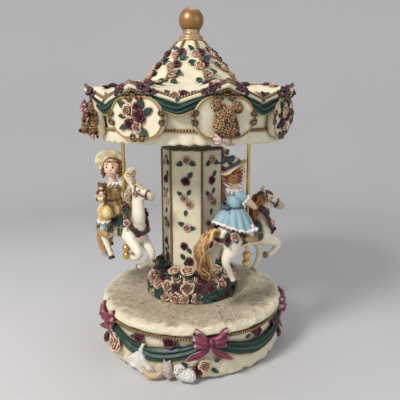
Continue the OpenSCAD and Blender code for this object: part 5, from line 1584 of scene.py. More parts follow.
def ride_place(i):
    """Axes of ride i: x forward, y towards the column, z up, from the rod at the horse's body."""
    degrees = RIDE_TURN + 120 * i
    ahead = degrees + 90 + HORSE_TURN[i]
    return Place(polar(RIDE_R, degrees, HORSE_Z), polar(1, ahead, 0.0), polar(1, ahead + 90, 0.0), [0, 0, 1])


def skull_place(place, i):
    """Axes of horse i's head, turned and lifted on its neck."""
    turned, a = place.shifted(HORSE_POLL[i], 0, HORSE_NECK[i], HORSE_LOOK[i]), math.radians(HORSE_NOD[i])
    ahead = turned.axes[0] * math.cos(a) + turned.axes[2] * math.sin(a)
    return Place(turned.origin, ahead, turned.axes[1], np.cross(ahead, turned.axes[1]))


def lock(model, path, thick, tone=0.5, waves=1.6, swing=0.5):
    """One lock of hair: a flat tapering strand with a wave in it."""
    path = bezier(path, 20)
    t = np.linspace(0, 1, 20)
    ahead = unit(np.gradient(path, axis=0))
    side = unit(np.cross(ahead, [0.3, 1, 0.2]))
    path = path + side * (swing * np.sin(t * waves * TAU + tone * 9) * smooth(t * 2.5))[:, None]
    tube(model, path, thick * np.clip(np.sin(math.pi * (0.12 + 0.86 * t)), 0.12, 1), around=7,
         up=(0.2, 1, 0.1),
         mark=0.3 + 0.7 * tone, tone=tone, flat=1.4)


def horse_figure(i):
    """Body, neck, head and legs of one leaping horse, in ride axes."""
    body, neck, poll = Figure(), HORSE_NECK[i] + 0.8, HORSE_POLL[i]
    for points, radii, flat in (
            (((-22, 0, 2.4), (-13, 0, 1.2), (0, 0, -0.4), (10, 0, 0.6), (17.5, 0, 3)),
             (11, 11.4, 10.4, 11, 9.8), 0.94),
            (((17.5, 0, 3), (18, 0, -3.5)), (9.8, 8.4), 0.9),
            (((16, 0, 6), (mix(16, poll, 0.55) + 1.5, 0, 14), (poll, 0, 22), (poll, 0, neck)),
             (9.8, 8, 6.9, 5.6), 0.74),
            (((12, 0, 10), (poll - 7, 0, 21), (poll - 4.5, 0, neck)), (4.6, 3.4, 2.6), 0.6)):
        body.limb(points, radii, thin=(0, 1, 0), flat=flat)
    head = skull_place(HERE, i)
    for points, radii, flat in (
            (((-1.0, 0, 3.0), (4.5, 0, 2.0), (10.5, 0, -0.8), (15.6, 0, -3.4)), (5.3, 5.0, 3.7, 3.3), 0.8),
            (((1.5, 0, -1.6), (5.5, 0, -2.6)), (3.9, 3.4), 0.85),
            (((12.8, 0, -5.0), (15.2, 0, -5.8)), (2.1, 1.7), 0.85)):
        body.limb(points, radii, head, thin=head.axes[1], flat=flat)
    for s in (-1, 1):
        body.limb([(4.4, 3.2 * s, 3.6), (6.4, 3.4 * s, 3.2)], [1.5, 1.2], head)
        body.limb([(-1.6, 2.7 * s, 6.6), (-2.2, 3.4 * s, 10.4), (-1.6, 3.2 * s, 13.2)], [1.7, 1.5, 0.7], head)
        body.limb([(16.8, 1.9 * s, -2.8)], [1.3], head)
    for leg in np.array(FRONT[i], float):
        body.limb([*leg[:5], mix(leg[4], leg[5], 0.5)], [7.2, 5.1, 3.6, 2.5, 2.2, 2.7])
    for s, (hock, pastern, fetlock, toe) in zip((-1, 1), np.array(HIND[i], float)):
        hip = np.array([-20, 4.6 * s, -0.5])
        body.limb([hip, mix(hip, hock, 0.5) + [1.5, 0, 0], hock, pastern, fetlock, mix(toe, fetlock, 0.5)],
                  [9.4, 7.0, 3.8, 2.6, 2.3, 2.7])
    return body, head


# Base and tip colours of each horse's mane and tail
MANES = (((0.42, 0.3, 0.16), (0.84, 0.74, 0.54)), ((0.13, 0.035, 0.01), (0.46, 0.19, 0.06)),
         ((0.42, 0.25, 0.1), (0.74, 0.52, 0.26)))
TAILS = (((0.36, 0.22, 0.11), (0.66, 0.48, 0.28)), ((0.22, 0.085, 0.02), (0.8, 0.52, 0.22)),
         ((0.42, 0.25, 0.1), (0.74, 0.52, 0.26)))


def hair_paint(name, base, tip, roughness, **extra):
    return painted(name, base, roughness, **{"wash_shade": 0.8, "reach": 0.0016, "spread": 0.3, "edge": tip,
                                             "span": (0.35, 1.0), **extra})


def build_mane(hair, place, skull, i, rng):
    """Locks down both sides of the neck, an upright plume on the first horse, and a forelock."""
    high, poll = HORSE_NECK[i], HORSE_POLL[i]
    crest = bezier([(poll - 0.5, 0, high + 6), (poll - 4.5, 0, high + 3), (poll - 7, 0, 26),
                    (poll - 8.5, 0, 18),
                    (10.6, 0, 12.5)], 40)
    for k in range(54):
        root = crest[int(rng.uniform(0, 39))] + rng.normal(0, 0.35, 3)
        s = (1 if k % 2 else -1) * rng.uniform(0.4, 1)
        long = rng.uniform(9, 15) * (0.8, 1.1, 1)[i]
        fall = np.array([(0, 0, 0), (-long * 0.3, 3.4 * s, 1.4), (-long * 0.52, 5.0 * s, -long * 0.34),
                         (-long * rng.uniform(0.4, 0.7), 5.2 * s, -long * 0.85)])
        lock(hair, place.put(root + fall), rng.uniform(1.0, 1.5), rng.uniform(), waves=2.2, swing=1.3)
    for k in range(24 if i == 0 else 0):
        s, lift = rng.uniform(-1, 1), rng.uniform(13, 18)
        lock(hair, skull.put([[-2.0, s, 5], [-4.6, 2.2 * s, 5 + lift * 0.5],
                              [-4.6 + 1.4 * s, 3.4 * s, 5 + lift],
                              [-0.6 + 2 * s, 4.0 * s, 5.0 + lift * 0.98]]), rng.uniform(1.7, 2.6),
                              rng.uniform(0.4, 1))
    for k in range(9):
        s = rng.uniform(-1, 1)
        lock(hair, skull.put([[-1.5, 0.8 * s, 8.0], [2.0, 1.4 * s, 8.8], [6.0, 2.4 * s, 6.6],
                              [9.4, 2.6 * s, 3.6]]),
             rng.uniform(0.8, 1.2), rng.uniform())


def build_tail(brush, place, i, rng):
    out = (0, 9, 5)[i]
    for k in range(46):
        a, r = rng.uniform(0, TAU), rng.uniform(0.3, 1)
        dy, dz = 5.0 * r * math.cos(a), 5.0 * r * math.sin(a)
        lock(brush, place.put([[-28, dy * 0.3, 5 + dz * 0.3], [-35 - out * 0.4, dy * 0.7, 7 + dz * 0.6],
                               [-39 - out + dz * 0.7, dy, -3 + dz * 0.3], [-39.5 - out + dz, dy * 1.1, -14],
                               [-36 - out * 0.8 + dz, dy * 0.9, -24 - 4 * r],
                               [-33.5 - out * 0.5 + dz, dy * 0.6, -33 + 4 * rng.uniform(-1, 1)]]),
             rng.uniform(1.2, 2.1), rng.uniform(), waves=3.0, swing=2.1)
    ball(brush, (-27.6, 0, 5), 2.4, place=place, mark=0.4)


def build_horses():
    """Three leaping horses with hooves, eyes, manes and tails."""
    for i in range(3):
        place = ride_place(i)
        node = f"horse_{i + 1}"
        body, head = horse_figure(i)
        nose = head.put([15.5, 0, -3])

        def tone_down(points, normals):
            near = smooth(1.25 - np.linalg.norm(points - nose, axis=1) / 9)
            return points + normals * (0.16 * lumps(points, 4, i))[:, None], 0.5 + 0.5 * near
        body.to_object(f"{node}_coat", finish("Horse coat"), size_mm("skin"), replaces=node, slot="horse",
                       places=[place], shape=tone_down)
        for end, legs, colour in (("front", FRONT[i], (0.3, 0.22, 0.13)),
                                  ("hind", HIND[i], (0.03, 0.02, 0.015))):
            feet = Modeller()
            for *_, top, toe in legs:
                top, toe = mix(place.put(top), place.put(toe), 0.42), place.put(toe)
                tube(feet, [top, mix(top, toe, 0.25), mix(top, toe, 0.9), toe], [2.3, 2.9, 3.3, 2.6], 14,
                     up=(0, 1, 0))
            feet.to_object(f"{node}_{end}_hooves", painted(f"Hoof {end}", colour, 0.35, 0.5), slot="horse")
        eyes = Modeller()
        skull = skull_place(place, i)
        for s in (-1, 1):
            ball(eyes, (5.8, 4.05 * s, 3.5), 1.05, (1.15, 0.6, 0.85), place=skull)
            ball(eyes, (17.3, 2.2 * s, -2.9), 0.62, (0.8, 0.8, 0.9), place=skull)
            ball(eyes, (-1.4, 3.95 * s, 9.8), 0.8, (0.7, 0.35, 2.4), place=skull)
        eyes.to_object(f"{node}_eyes", finish("Dark brown gloss"), slot="horse")
        rng = np.random.default_rng(70 + i)
        hair, brush = Modeller(), Modeller()
        build_mane(hair, place, skull, i, rng)
        hair.to_object(f"{node}_mane", hair_paint(f"Mane {i + 1}", *MANES[i], 0.5), slot="horse")
        build_tail(brush, place, i, rng)
        brush.to_object(f"{node}_tail", hair_paint(f"Tail {i + 1}", *TAILS[i], 0.48), slot="horse")


def build_bridle(node, skull):
    strap, ring = Modeller(), spin(40)
    for x, z, wide, high, lean in ((11.4, -1.6, 3.5, 4.0, 0.35), (1.4, 2.2, 4.75, 5.7, -0.12)):
        h = high * np.sin(ring)
        tube(strap, skull.put(xyz(x + lean * h, wide * np.cos(ring), z + h)), 0.5, closed=True,
             up=skull.axes[0],
             flat=1.3)
    for s in (-1, 1):
        cheek = bezier([(11.0, 3.3 * s, -2.6), (6.6, 4.35 * s, -0.6), (1.2, 4.7 * s, 3.4)], 12)
        tube(strap, skull.put(cheek), 0.6, up=skull.axes[1])
        ball(strap, (11.4, 3.9 * s, -2.9), 1.0, (1, 0.5, 1), place=skull)
    strap.to_object(f"{node}_bridle", painted("Bridle brown", (0.06, 0.014, 0.014), 0.4), slot="burgundy")


# Panels of a blanket: from, to along the back; from, to in degrees round it; how far off it
BLANKET = ((-16.5, 9.5, -78, 78, 0.0), (-15, -6.4, 70, 116, -0.25), (1.4, 9, 70, 116, -0.25),
           (-15, -6.4, -116, -70, -0.25), (1.4, 9, -116, -70, -0.25))


def build_saddle(node, place):
    """A blanket with a painted rim and a leather seat."""
    cloth, seat = Modeller(), Figure()
    u, v = np.linspace(0, 1, 30)[:, None], np.linspace(0, 1, 61)
    for back, ahead, low, high, lift in BLANKET:
        swing = mix(low, high, v) + 0 * u
        x = mix(back, ahead, u) + 0.5 * np.sin(np.radians(swing) * 7)
        r = 12.3 + lift + 0.3 * np.sin(np.radians(swing) * 12 + u
                                       * 3) * np.abs(swing) / 90 + 0.0045 * (x + 2) ** 2
        swing = np.radians(swing)
        top = xyz(x, r * np.sin(swing) * 0.95, r * np.cos(swing) + 0.4)
        under = top[:, ::-1] * [1, 0.955, 0.955]
        rim = np.minimum(np.minimum(u, 1 - u) * (ahead - back), np.minimum(v, 1 - v) * (high - low) * 0.21)
        cloth.strip(place.put(np.hstack([top, under])), mark=np.hstack([np.clip(1.3 - rim, 0, 1), 0 * rim]))
    green = painted("Blanket green", (0.012, 0.036, 0.034), 0.5, edge=(0.42, 0.28, 0.1), span=(0.4, 0.8))
    cloth.to_object(f"{node}_blanket", green, replaces=node, slot="saddle")
    seat.limb([(-24, 0, 15.4), (-17, 0, 13.4), (-8, 0, 13.0), (-2.4, 0, 16.4)], [2.8, 3.8, 3.6, 2.4])
    for s in (-1, 1):
        seat.limb([(-16, 3.6 * s, 12.4), (-12, 9.2 * s, 8.6), (-10, 12.0 * s, 2)], [2.6, 2.6, 1.6])
    seat.to_object(f"{node}_seat", painted("Saddle leather", (0.5, 0.4, 0.27), 0.4, 0.8), 0.7,
                   slot="saddle",
                   places=[place])


def build_garlands(node, place, skull, i):
    """Velvet garlands with roses and leaves, round the chest and over the rump."""
    wreath, beds, ring, side = Modeller(), Beds(), spin(40), np.array([0, 1.0, 0])
    tilt = math.radians(58)
    hub, ahead = np.array([17.4, 0, 12.4]), np.array([math.sin(tilt), 0, math.cos(tilt)])
    lean = np.array([math.cos(tilt), 0, -math.sin(tilt)])
    circle = hub + 14.2 * np.cos(ring)[:, None] * lean + 10.0 * np.sin(ring)[:, None] * side
    tube(wreath, place.put(circle), 1.9 + 1.1 * np.maximum(0, np.cos(ring)), 10, closed=True,
         up=place.aim(ahead))
    rump = bezier([(-16, 9.5, 8), (-22, 11.3, 3.5), (-29, 8.6, 0), (-32.6, 0, -1.5), (-29, -8.6, 0),
                   (-22, -11.3, 3.5),
                   (-16, -9.5, 8)], 60)
    tube(wreath, place.put(rump + [0, 0, 1.6]), 1.9, 10)
    velvet = painted("Garland velvet", (0.07, 0.008, 0.018), 0.4, edge=(0.25, 0.06, 0.09))
    wreath.to_object(f"{node}_garland", velvet, slot="burgundy")
    for k in range(12):
        a = TAU * (k + 0.3) / 12
        spot = hub + 14.8 * math.cos(a) * lean + 10.8 * math.sin(a) * side
        where = Place.facing(place.put(spot),
                             place.aim(math.cos(a) * lean + math.sin(a) * side + 0.5 * ahead))
        seed = 2000 + i * 50 + k
        if k % 2:
            beds.plant("blush" if k % 4 == 1 else "dark", where.shifted(z=0.8), 3.2, seed)
        beds.plant("leaf", where.shifted(z=0.6, turn=35 + 140 * k), 6.4, seed, width=0.42)
    for k, step in enumerate((4, 12, 20, 39, 47, 55)):
        spot = rump[step]
        away = np.array([-0.3, np.sign(spot[1]), 0.25])
        where = Place.facing(place.put(spot + [0, 0, 1.6] + unit(away) * 1.6), place.aim(away))
        beds.plant("dark" if k % 2 else "blush", where, 3.7 if k % 3 == 1 else 3.1, 2200 + i * 50 + k)
        for turn in (10, 190):
            beds.plant("leaf", where.shifted(z=-0.4, turn=turn + 25 * k), 6.4, 2250 + i * 50 + k, width=0.4)
    for s in (-1, 1):
        beds.plant("blush", Place.facing(skull.put([1.0, 5.2 * s, 1.4]), skull.aim([0.2, s, 0.1])), 2.2,
                   2300 + i)
    beds.to_objects(dark=(f"{node}_roses_burgundy", ()), blush=(f"{node}_roses_blush", ()),
                    leaf=(f"{node}_leaves", ()))


def build_harness():
    """Bridles, blankets, saddles and flower garlands."""
    for i in range(3):
        place = ride_place(i)
        skull = skull_place(place, i)
        node = f"saddle_{i + 1}"
        build_bridle(node, skull)
        build_saddle(node, place)
        build_garlands(node, place, skull, i)


def ruffle(model, place, inner, outer, drop, waves, thick=0.8, ripple=0.8, seed=0):
    """A frilled ring of cloth about the place's z axis."""
    a, u = spin(waves * 12), np.linspace(0, 1, 7)[:, None]
    r = mix(inner, outer, u) * (1 + 0.03 * np.sin(a * 3 + seed))
    z = -drop * u ** 1.4 + ripple * u * np.sin(a * waves + seed)
    top, mark = oval(a, r, r, z + thick / 2), u ** 2 + 0 * a
    model.lathe(place.put(np.vstack([top, top[::-1] - [0, 0, thick]])), np.vstack([mark, mark[::-1]]), 1)


def ringlet(model, place, start, length, radius=1.15, tone=0.5):
    """A coiled curl of hair that hangs from a point."""
    t = np.linspace(0, 1, 34)
    path = start + oval(t * (length / 3) * TAU, radius, radius, -length * t)
    tube(model, place.put(path), mix(0.95, 0.5, t), around=7, mark=0.3 + 0.7 * tone, tone=tone)


# Each rider's clothes: name, colour and colour of raised edges (a painted highlight on fold ridges). rim
# is the hat's radius, droop, waves and ripple; tip and lean set it on the head; sole is how low the shoes
# hang.
LOOKS = (
    dict(slot="coat", top=("Tan coat", (0.64, 0.41, 0.19), (0.93, 0.71, 0.43)),
         legs=("Mustard trousers", (0.56, 0.36, 0.11), (0.88, 0.7, 0.36)),
         sock=("Pale blue sock", (0.48, 0.6, 0.68)),
         hair=("Brown curls", (0.2, 0.085, 0.03), (0.5, 0.28, 0.13)),
         hat=("Pale yellow bonnet", (0.95, 0.87, 0.56)), band=("Blush hat band", (0.62, 0.3, 0.24)),
         rim=(14.5, 0.6, 9, 0.6), tip=(-3.4, -1.8, 4.6), lean=-62, sole=-16.2, roses="Blush rose"),
    dict(slot="dress", top=("Light blue dress", (0.27, 0.42, 0.49), None),
         legs=("White stockings", (0.76, 0.74, 0.7), None),
         sock=("White socks", (0.78, 0.76, 0.72)),
         hair=("Auburn curls", (0.27, 0.085, 0.028), (0.62, 0.31, 0.13)),
         hat=("Straw hat", (0.84, 0.7, 0.46)), band=("Slate blue ribbon", (0.045, 0.085, 0.14)),
         rim=(12.5, 1.8, 4, 0.7), tip=(-2.6, 0, 5.6), lean=-30, sole=-13.0, roses="Burgundy rose"),
    dict(slot="jacket", top=("Rose jacket", (0.34, 0.1, 0.11), (0.52, 0.22, 0.22)),
         legs=("Sage trousers", (0.17, 0.22, 0.13), (0.34, 0.4, 0.26)),
         sock=("Cream sock", (0.7, 0.64, 0.5)),
         hair=("Blonde curls", (0.42, 0.26, 0.09), (0.74, 0.54, 0.26)),
         hat=("Cream cap", (0.74, 0.66, 0.5)), band=("Green hat band", (0.05, 0.12, 0.08)),
         rim=(12.5, 1.4, 5, 0.5), tip=(-2.2, 0, 6.2), lean=-12, sole=-13.0, roses="Peach rose"))


class Rider:
    """A seated child doll: its ride, its clothes and the axes of its seat and head."""

    def __init__(self, i):
        self.i, self.look = i, LOOKS[i]
        self.skirted = self.look["slot"] == "dress"
        self.seat = ride_place(i).shifted(*SEATS[i])
        self.head = self.seat.shifted(1, 0, 42, RIDER_LOOK[i])

    def keep(self, model, part, paint, *grain, **extra):
        model.to_object(f"rider_{self.i + 1}_{part}", paint, *grain, slot=self.look["slot"], **extra)

    def crease(self, points, normals):
        """Folds of the clothes; a coat and trousers have pleats as well. The mark is high on the ridges,
        where an edge colour is a painted highlight.
        """
        wave = lumps(points, 4.2, 50, 2)
        turn = np.arctan2(points[:, 1], points[:, 0] + 1)
        pleat = np.cos(9 * turn + 0.3 * points[:, 2] + 2.2 * wave) * (0 if self.skirted else 1)
        return points + normals * (0.28 * wave + 0.32 * pleat)[:, None], 0.5 + 0.45 * pleat


def build_clothes(rider):
    """Coat or dress, trousers or stockings, socks, shoes and hands; gives the paint of the coat or dress."""
    skirted, look, seat = rider.skirted, rider.look, rider.seat
    coat, legs, socks, shoes, bare = Figure(), Figure(), Figure(), Figure(), Figure()
    coat.limb([(-1, 0, 2), (0, 0, 9), (0.8, 0, 18), (1, 0, 25)],
              (0.86 if skirted else 1.0) * np.array([9.4, 8.6, 7.8, 5.0]), thin=(1, 0, 0), flat=0.86)
    if not skirted:
        coat.limb([(-6, 0, 2), (3, 0, 1)], [8.8, 8.0])
    for shoulder, elbow, wrist, hand in np.array(ARMS[rider.i], float):
        if skirted:
            coat.limb([shoulder, mix(shoulder, elbow, 0.42)], [4.2, 4.0])
            bare.limb([mix(shoulder, elbow, 0.5), elbow, wrist], [3.2, 3.3, 2.7])
        else:
            coat.limb([shoulder, elbow, wrist], [4.1, 4.0, 3.0])
        bare.limb([wrist, hand], [2.3, 2.1])
    sole = look["sole"]
    for s in (-1, 1):
        if skirted:
            legs.limb([(2, 6.6 * s, -2), (6.6, 12.4 * s, -4.6), (7.2, 15 * s, -6)], [4.4, 4.0, 3.4])
        else:
            legs.limb([(1, 6.6 * s, 2.6), (7.6, 13.2 * s, 0.8), (7.4, 15 * s, -3.2)], [6.4, 6.8, 5.0])
        socks.limb([(7.2, 15.2 * s, -4), (5.8, 15.6 * s, sole + 2)], [3.2, 2.8])
        shoes.limb([(4.6, 15.8 * s, sole), (8.0, 15.8 * s, sole - 1.4), (11.4, 15.8 * s, sole - 1.8)],
                   [3.8, 3.6, 2.9])
    # The coat's and the trousers' edge colours on the fold ridges are a painted highlight
    name, colour, edge = look["top"]
    cloth = painted(name, colour, 0.5, 0.3 if skirted else 0.5, 0.002, 0.06, edge=edge, span=(0.3, 0.95))
    rider.keep(coat, look["slot"], cloth, size_mm("skin"), replaces=f"rider_{rider.i + 1}", places=[seat],
               shape=rider.crease)
    name, colour, edge = look["legs"]
    rider.keep(legs, "legs", painted(name, colour, reach=0.003, edge=edge, span=(0.2, 0.95)), 0.7,
               places=[seat],
               shape=rider.crease)
    rider.keep(socks, "socks", painted(*look["sock"]), 0.7, places=[seat])
    rider.keep(shoes, "shoes", painted("Tan shoe", (0.42, 0.26, 0.11), 0.38), 0.6, places=[seat])
    rider.keep(bare, "hands", finish("Doll skin"), 0.6, places=[seat])
    return cloth


def build_face(rider):
    face, eyes, cheeks, lips, head = Figure(), Modeller(), Modeller(), Modeller(), rider.head
    face.limb([(0, 0, 0.6)], [8.3]).limb([(3.2, 0, -4.4)], [4.3])
    for s in (-1, 1):
        face.limb([(4.3, 3.0 * s, -2.5)], [3.3])
        ball(eyes, (7.65, 2.9 * s, 0.9), 0.95, (0.45, 0.8, 1.1), place=head)
        tube(eyes, head.put(bezier([(7.7, 1.7 * s, 3.3), (7.6, 3.0 * s, 3.9), (6.9, 4.4 * s, 3.3)], 7)), 0.28)
        ball(cheeks, (6.55, 4.0 * s, -2.2), 1.7, (0.42, 0.9, 0.8), place=head)
    face.limb([(7.9, 0, -1.3)], [1.15]).limb([(0, 0, -7), (-0.5, 0, -15)], [3.4, 4.0])
    ball(lips, (7.35, 0, -4.4), 1.0, (0.5, 1.3, 0.55), place=head)
    rider.keep(face, "face", finish("Doll skin"), 0.6, places=[head])
    rider.keep(eyes, "eyes", finish("Dark brown gloss"))
    rider.keep(cheeks, "cheeks", painted("Cheek blush", (0.78, 0.4, 0.31), 0.45, 0.0, grain=0.0))
    rider.keep(lips, "lips", painted("Lip red", (0.58, 0.2, 0.15), 0.35, 0.0))


def build_curls(rider):
    """Two layers of ringlets, a fringe of rolled curls and the hair under the hat."""
    rng = np.random.default_rng(300 + rider.i)
    curls, head = Modeller(), rider.head
    for layer, (low, high, r, z, long) in enumerate(((58, 302, 8.3, 2.5, 11.5), (72, 288, 9.2, 0.5, 8.0))):
        for a in np.radians(np.linspace(low, high, 17 - 3 * layer)):
            if rider.i == 0 and math.cos(a) < -0.4:
                continue
            ringlet(curls, head, (r * math.cos(a) - 0.6, r * math.sin(a), z + rng.uniform(-1, 1)),
                    long * rng.uniform(0.85, 1.1), tone=rng.uniform())
    for k in range(9):
        y = -5.2 + 10.4 * k / 8
        ball(curls, (6.0 - 0.1 * y * y, y, 5.6), 1.55, (0.9, 1, 0.9), place=head, mark=rng.uniform(0.3, 1))
    ball(curls, (-1.2, 0, 1.2), 8.5, (0.98, 1.02, 1.0), place=head, mark=0.3)
    name, base, tip = rider.look["hair"]
    rider.keep(curls, "curls", hair_paint(name, base, tip, 0.42, reach=0.0014, spread=0.25, span=(0.4, 1.0)))


def build_hat(rider):
    """A frilled hat tipped back on the head, with a band, a bow and three roses."""
    hat, trim, blooms, look, head = Modeller(), Modeller(), Modeller(), rider.look, rider.head
    tip, lean, phi = head.shifted(*look["tip"]), math.radians(look["lean"]), spin(40)
    up = head.axes[2] * math.cos(lean) + head.axes[0] * math.sin(lean)
    tip = Place(tip.origin, np.cross(head.axes[1], up), head.axes[1], up)
    brim, drop, waves, ripple = look["rim"]
    ruffle(hat, tip, 6.8, brim, drop, waves, ripple=ripple, seed=rider.i)
    crown = ((7.7, -0.6), (7.9, 0.6), (7.8, 2.6), (7.2, 4.8), (5.8, 6.5), (3.4, 7.5), (0.8, 7.8))
    hat.strip(tip.put([oval(phi, r, r, z) for r, z in crown]), mark=0.2)
    rider.keep(hat, "hat", painted(*look["hat"], 0.55, 0.7, 0.003, grain=0.35 if rider.i else 0.2))
    band = ((7.9, 0.4), (8.5, 0.6), (8.5, 2.4), (7.8, 2.7))
    trim.lathe(tip.put([oval(phi, r, r, z) for r, z in band]), 0.3, 1)
    if rider.skirted:
        knot = Place.facing(tip.put([-1, -3.4, 7.4]), tip.axes[2] - 0.9 * tip.axes[1] - 0.3 * tip.axes[0])
    else:
        knot = Place.facing(tip.put([-8.4, 0, 1.6]), -tip.axes[0])
    bow(trim, knot, 13.5, droop=0.7, seed=90 + rider.i)
    rider.keep(trim, "hat_ribbon", painted(*look["band"], 0.4))
    for a, size in ((150, 2.3), (115, 2.0), (205, 2.1)):
        spot = tip.put([8.2 * math.cos(math.radians(a)), 8.2 * math.sin(math.radians(a)), 2.2])
        rose(blooms, Place.facing(spot, spot - tip.put([0, 0, 0.5])), size, 95 + rider.i + a)
    rider.keep(blooms, "hat_roses", finish(look["roses"]))


def build_frills(rider):
    """Frills at the neck, knees and wrists, buttons and, on a coat, braid."""
    frills, buttons, braid, seat = Modeller(), Modeller(), Modeller(), rider.seat
    ruffle(frills, seat.shifted(1.0, 0, 28.2), 3.4, 7.8, 1.6, 13)
    ruffle(frills, seat.shifted(1.0, 0, 27.2), 3.4, 6.8, 2.4, 11, ripple=0.7, seed=2)
    for s in (-1, 1):
        knee = Place.facing(seat.put([7.4, 15.0 * s, -4.4]), seat.axes[2] + seat.axes[0] * 0.12)
        ruffle(frills, knee, 2.8, 6.4, 1.6, 9, thick=1.1, ripple=0.9)
    for arm in ARMS[rider.i]:
        shoulder, elbow, wrist = (seat.put(p) for p in arm[:3])
        if rider.skirted:
            cuff = Place.facing(mix(shoulder, elbow, 0.62), shoulder - elbow)
        else:
            cuff = Place.facing(wrist, elbow - wrist)
        ruffle(frills, cuff, 2.2, 5.0, 0.8, 9, ripple=0.6)
    rider.keep(frills, "frills", finish("White frill"))
    for z in (12, 16, 20):
        ball(buttons, (7.9 - 0.05 * (z - 12), 0, z), 0.75, (0.6, 1, 1), place=seat)
    buttons.to_object(f"rider_{rider.i + 1}_buttons", brass(), slot="brass")
    if rider.skirted:
        return
    for k in range(3):
        for s in (-1, 1):
            line = bezier([(4.4, 5.8 * s, 23 - 3.2 * k), (7.6, 3.6 * s, 19.5 - 3.6 * k),
                           (8.3, 0.8 * s, 18 - 4 * k)], 12)
            tube(braid, seat.put(line), 0.42, flat=1.4)
    rider.keep(braid, "braid", painted("Braid brown", (0.5, 0.29, 0.13)))


def build_skirt(rider, cloth):
    """A full skirt spread back over the saddle, with a lace hem and a sash."""
    a, u, seat = spin(220), np.linspace(0, 1, 16)[:, None], rider.seat
    skirt, lace, sash = Modeller(), Modeller(), Modeller()
    fold = np.sin(a * 13 + 0.8 * np.sin(a * 3)) * u ** 1.2
    back = 0.5 - 0.5 * np.cos(a)
    rx, ry = mix(6.8, mix(16.5, 17.5, back), u ** 0.8) + 0.9 * fold, mix(7.0, 18.6, u ** 0.75) + 0.9 * fold
    z = mix(12.0, mix(-4.6, 0.6, back), u ** 1.2) - 3.4 * (np.sin(a) ** 2) * u ** 2 + 0.5 * fold
    outer = xyz(u + rx * np.cos(a), ry * np.sin(a), z)
    skirt.lathe(seat.put(np.vstack([outer, outer[::-1] * [0.94, 0.94, 1] - [0, 0, 0.6]])), step=1)
    hem, tips = outer[-1], outer[-1] * [1.09, 1.09, 1] - [0, 0, 3.4]
    tips[:, 2] += 2.2 * np.abs(np.sin(a * 17))
    middle = mix(hem, tips, 0.5)
    lace.lathe(seat.put([hem + [0, 0, 0.7], middle + [0, 0, 0.5], tips, middle - [0, 0, 0.5],
                         hem * [0.97, 0.97, 1] - [0, 0, 0.4]]), step=1)
    rider.keep(skirt, "skirt", cloth, replaces="rider_2")
    rider.keep(lace, "lace_hem", finish("White frill"))
    tube(sash, seat.put(oval(a, 7.3, 7.6, 12.0)), 1.1, closed=True)
    bow(sash, Place.facing(seat.put([-8.6, 0, 12.4]), -seat.axes[0]), 12, droop=0.7, seed=120)
    rider.keep(sash, "sash", painted(*rider.look["band"], 0.4))


def build_coat_tails(rider, cloth):
    """Pleated coat tails from a belt down over the back of the saddle."""
    a, u = np.linspace(math.radians(80), math.radians(280), 100), np.linspace(0, 1, 16)[:, None]
    fold, out = np.cos(15 * a) * u, u ** 0.45
    rx, ry = mix(7.7, 14.3, out) + 0.7 * fold, mix(8.8, 12.4, out) + 0.7 * fold
    outer = xyz(rx * np.cos(a) - 4 * u, ry * np.sin(a), mix(11.5, -1.5, u) + 0.4 * fold)
    inner = outer[::-1] * [0.94, 0.94, 1] - [0, 0, 0.5]
    # Mark high on the ridges of the folds, where the coat's edge colour is a painted highlight
    mark = np.vstack([0.5 + 0.45 * fold, 0 * fold])
    tails, belt = Modeller(), Modeller()
    tails.strip(rider.seat.put(np.vstack([outer, inner])).transpose(1, 0, 2), mark=mark.T)
    rider.keep(tails, "coat_tails", cloth)
    a = np.linspace(0, TAU, 90, endpoint=False)
    tube(belt, rider.seat.put(xyz(7.5 * np.cos(a) - 0.2, 8.8 * np.sin(a), 11.6)), 0.85, closed=True, flat=1.4)
    rider.keep(belt, "belt", painted("Brown belt", (0.15, 0.065, 0.03), 0.45))


def build_riders():
    """Three seated child dolls with curls, hats and ruffled clothes; the first holds a toy bear."""
    for i in range(3):
        rider = Rider(i)
        cloth = build_clothes(rider)
        build_face(rider)
        build_curls(rider)
        build_hat(rider)
        build_frills(rider)
        (build_skirt if rider.skirted else build_coat_tails)(rider, cloth)
    build_teddy(ride_place(0).shifted(*SEATS[0]))


def build_teddy(seat):
    """A small stuffed bear held to the chest, with a pale face and front."""
    toy, front, place = Figure(), Modeller(), seat.shifted(4.6, -13.4, 15, -52)
    toy.limb([(0, 0, 2.0), (0, 0, 5.5)], [4.2, 3.6])
    toy.limb([(0.8, 0, 10.2)], [3.9])
    for s in (-1, 1):
        toy.limb([(0.2, 3.0 * s, 13.2)], [1.6])
        toy.limb([(1.4, 3.2 * s, 6.4), (4.2, 3.6 * s, 5.0)], [1.8, 1.4])
        toy.limb([(1.6, 2.4 * s, 0.2), (5.2, 3.2 * s, -0.4)], [2.1, 1.8])
    toy.to_object("rider_1_toy_bear",
                  painted("Toy bear plush", (0.12, 0.045, 0.02), 0.7, edge=(0.32, 0.16, 0.08),
                                                  span=(0.3, 1.0)), 0.5, slot="coat", places=[place],
                  curl=0.4, curl_size=1.4)
    ball(front, (3.2, 0, 3.6), 3.0, (0.6, 0.9, 1.1), place=place)
    ball(front, (4.0, 0, 9.6), 1.9, (0.9, 1, 0.8), place=place)
    front.to_object("rider_1_toy_front", painted("Toy bear cream", (0.7, 0.56, 0.38), 0.6), slot="coat")



# ---- Movement, rods and plain parts, whose frame shapes are kept ----

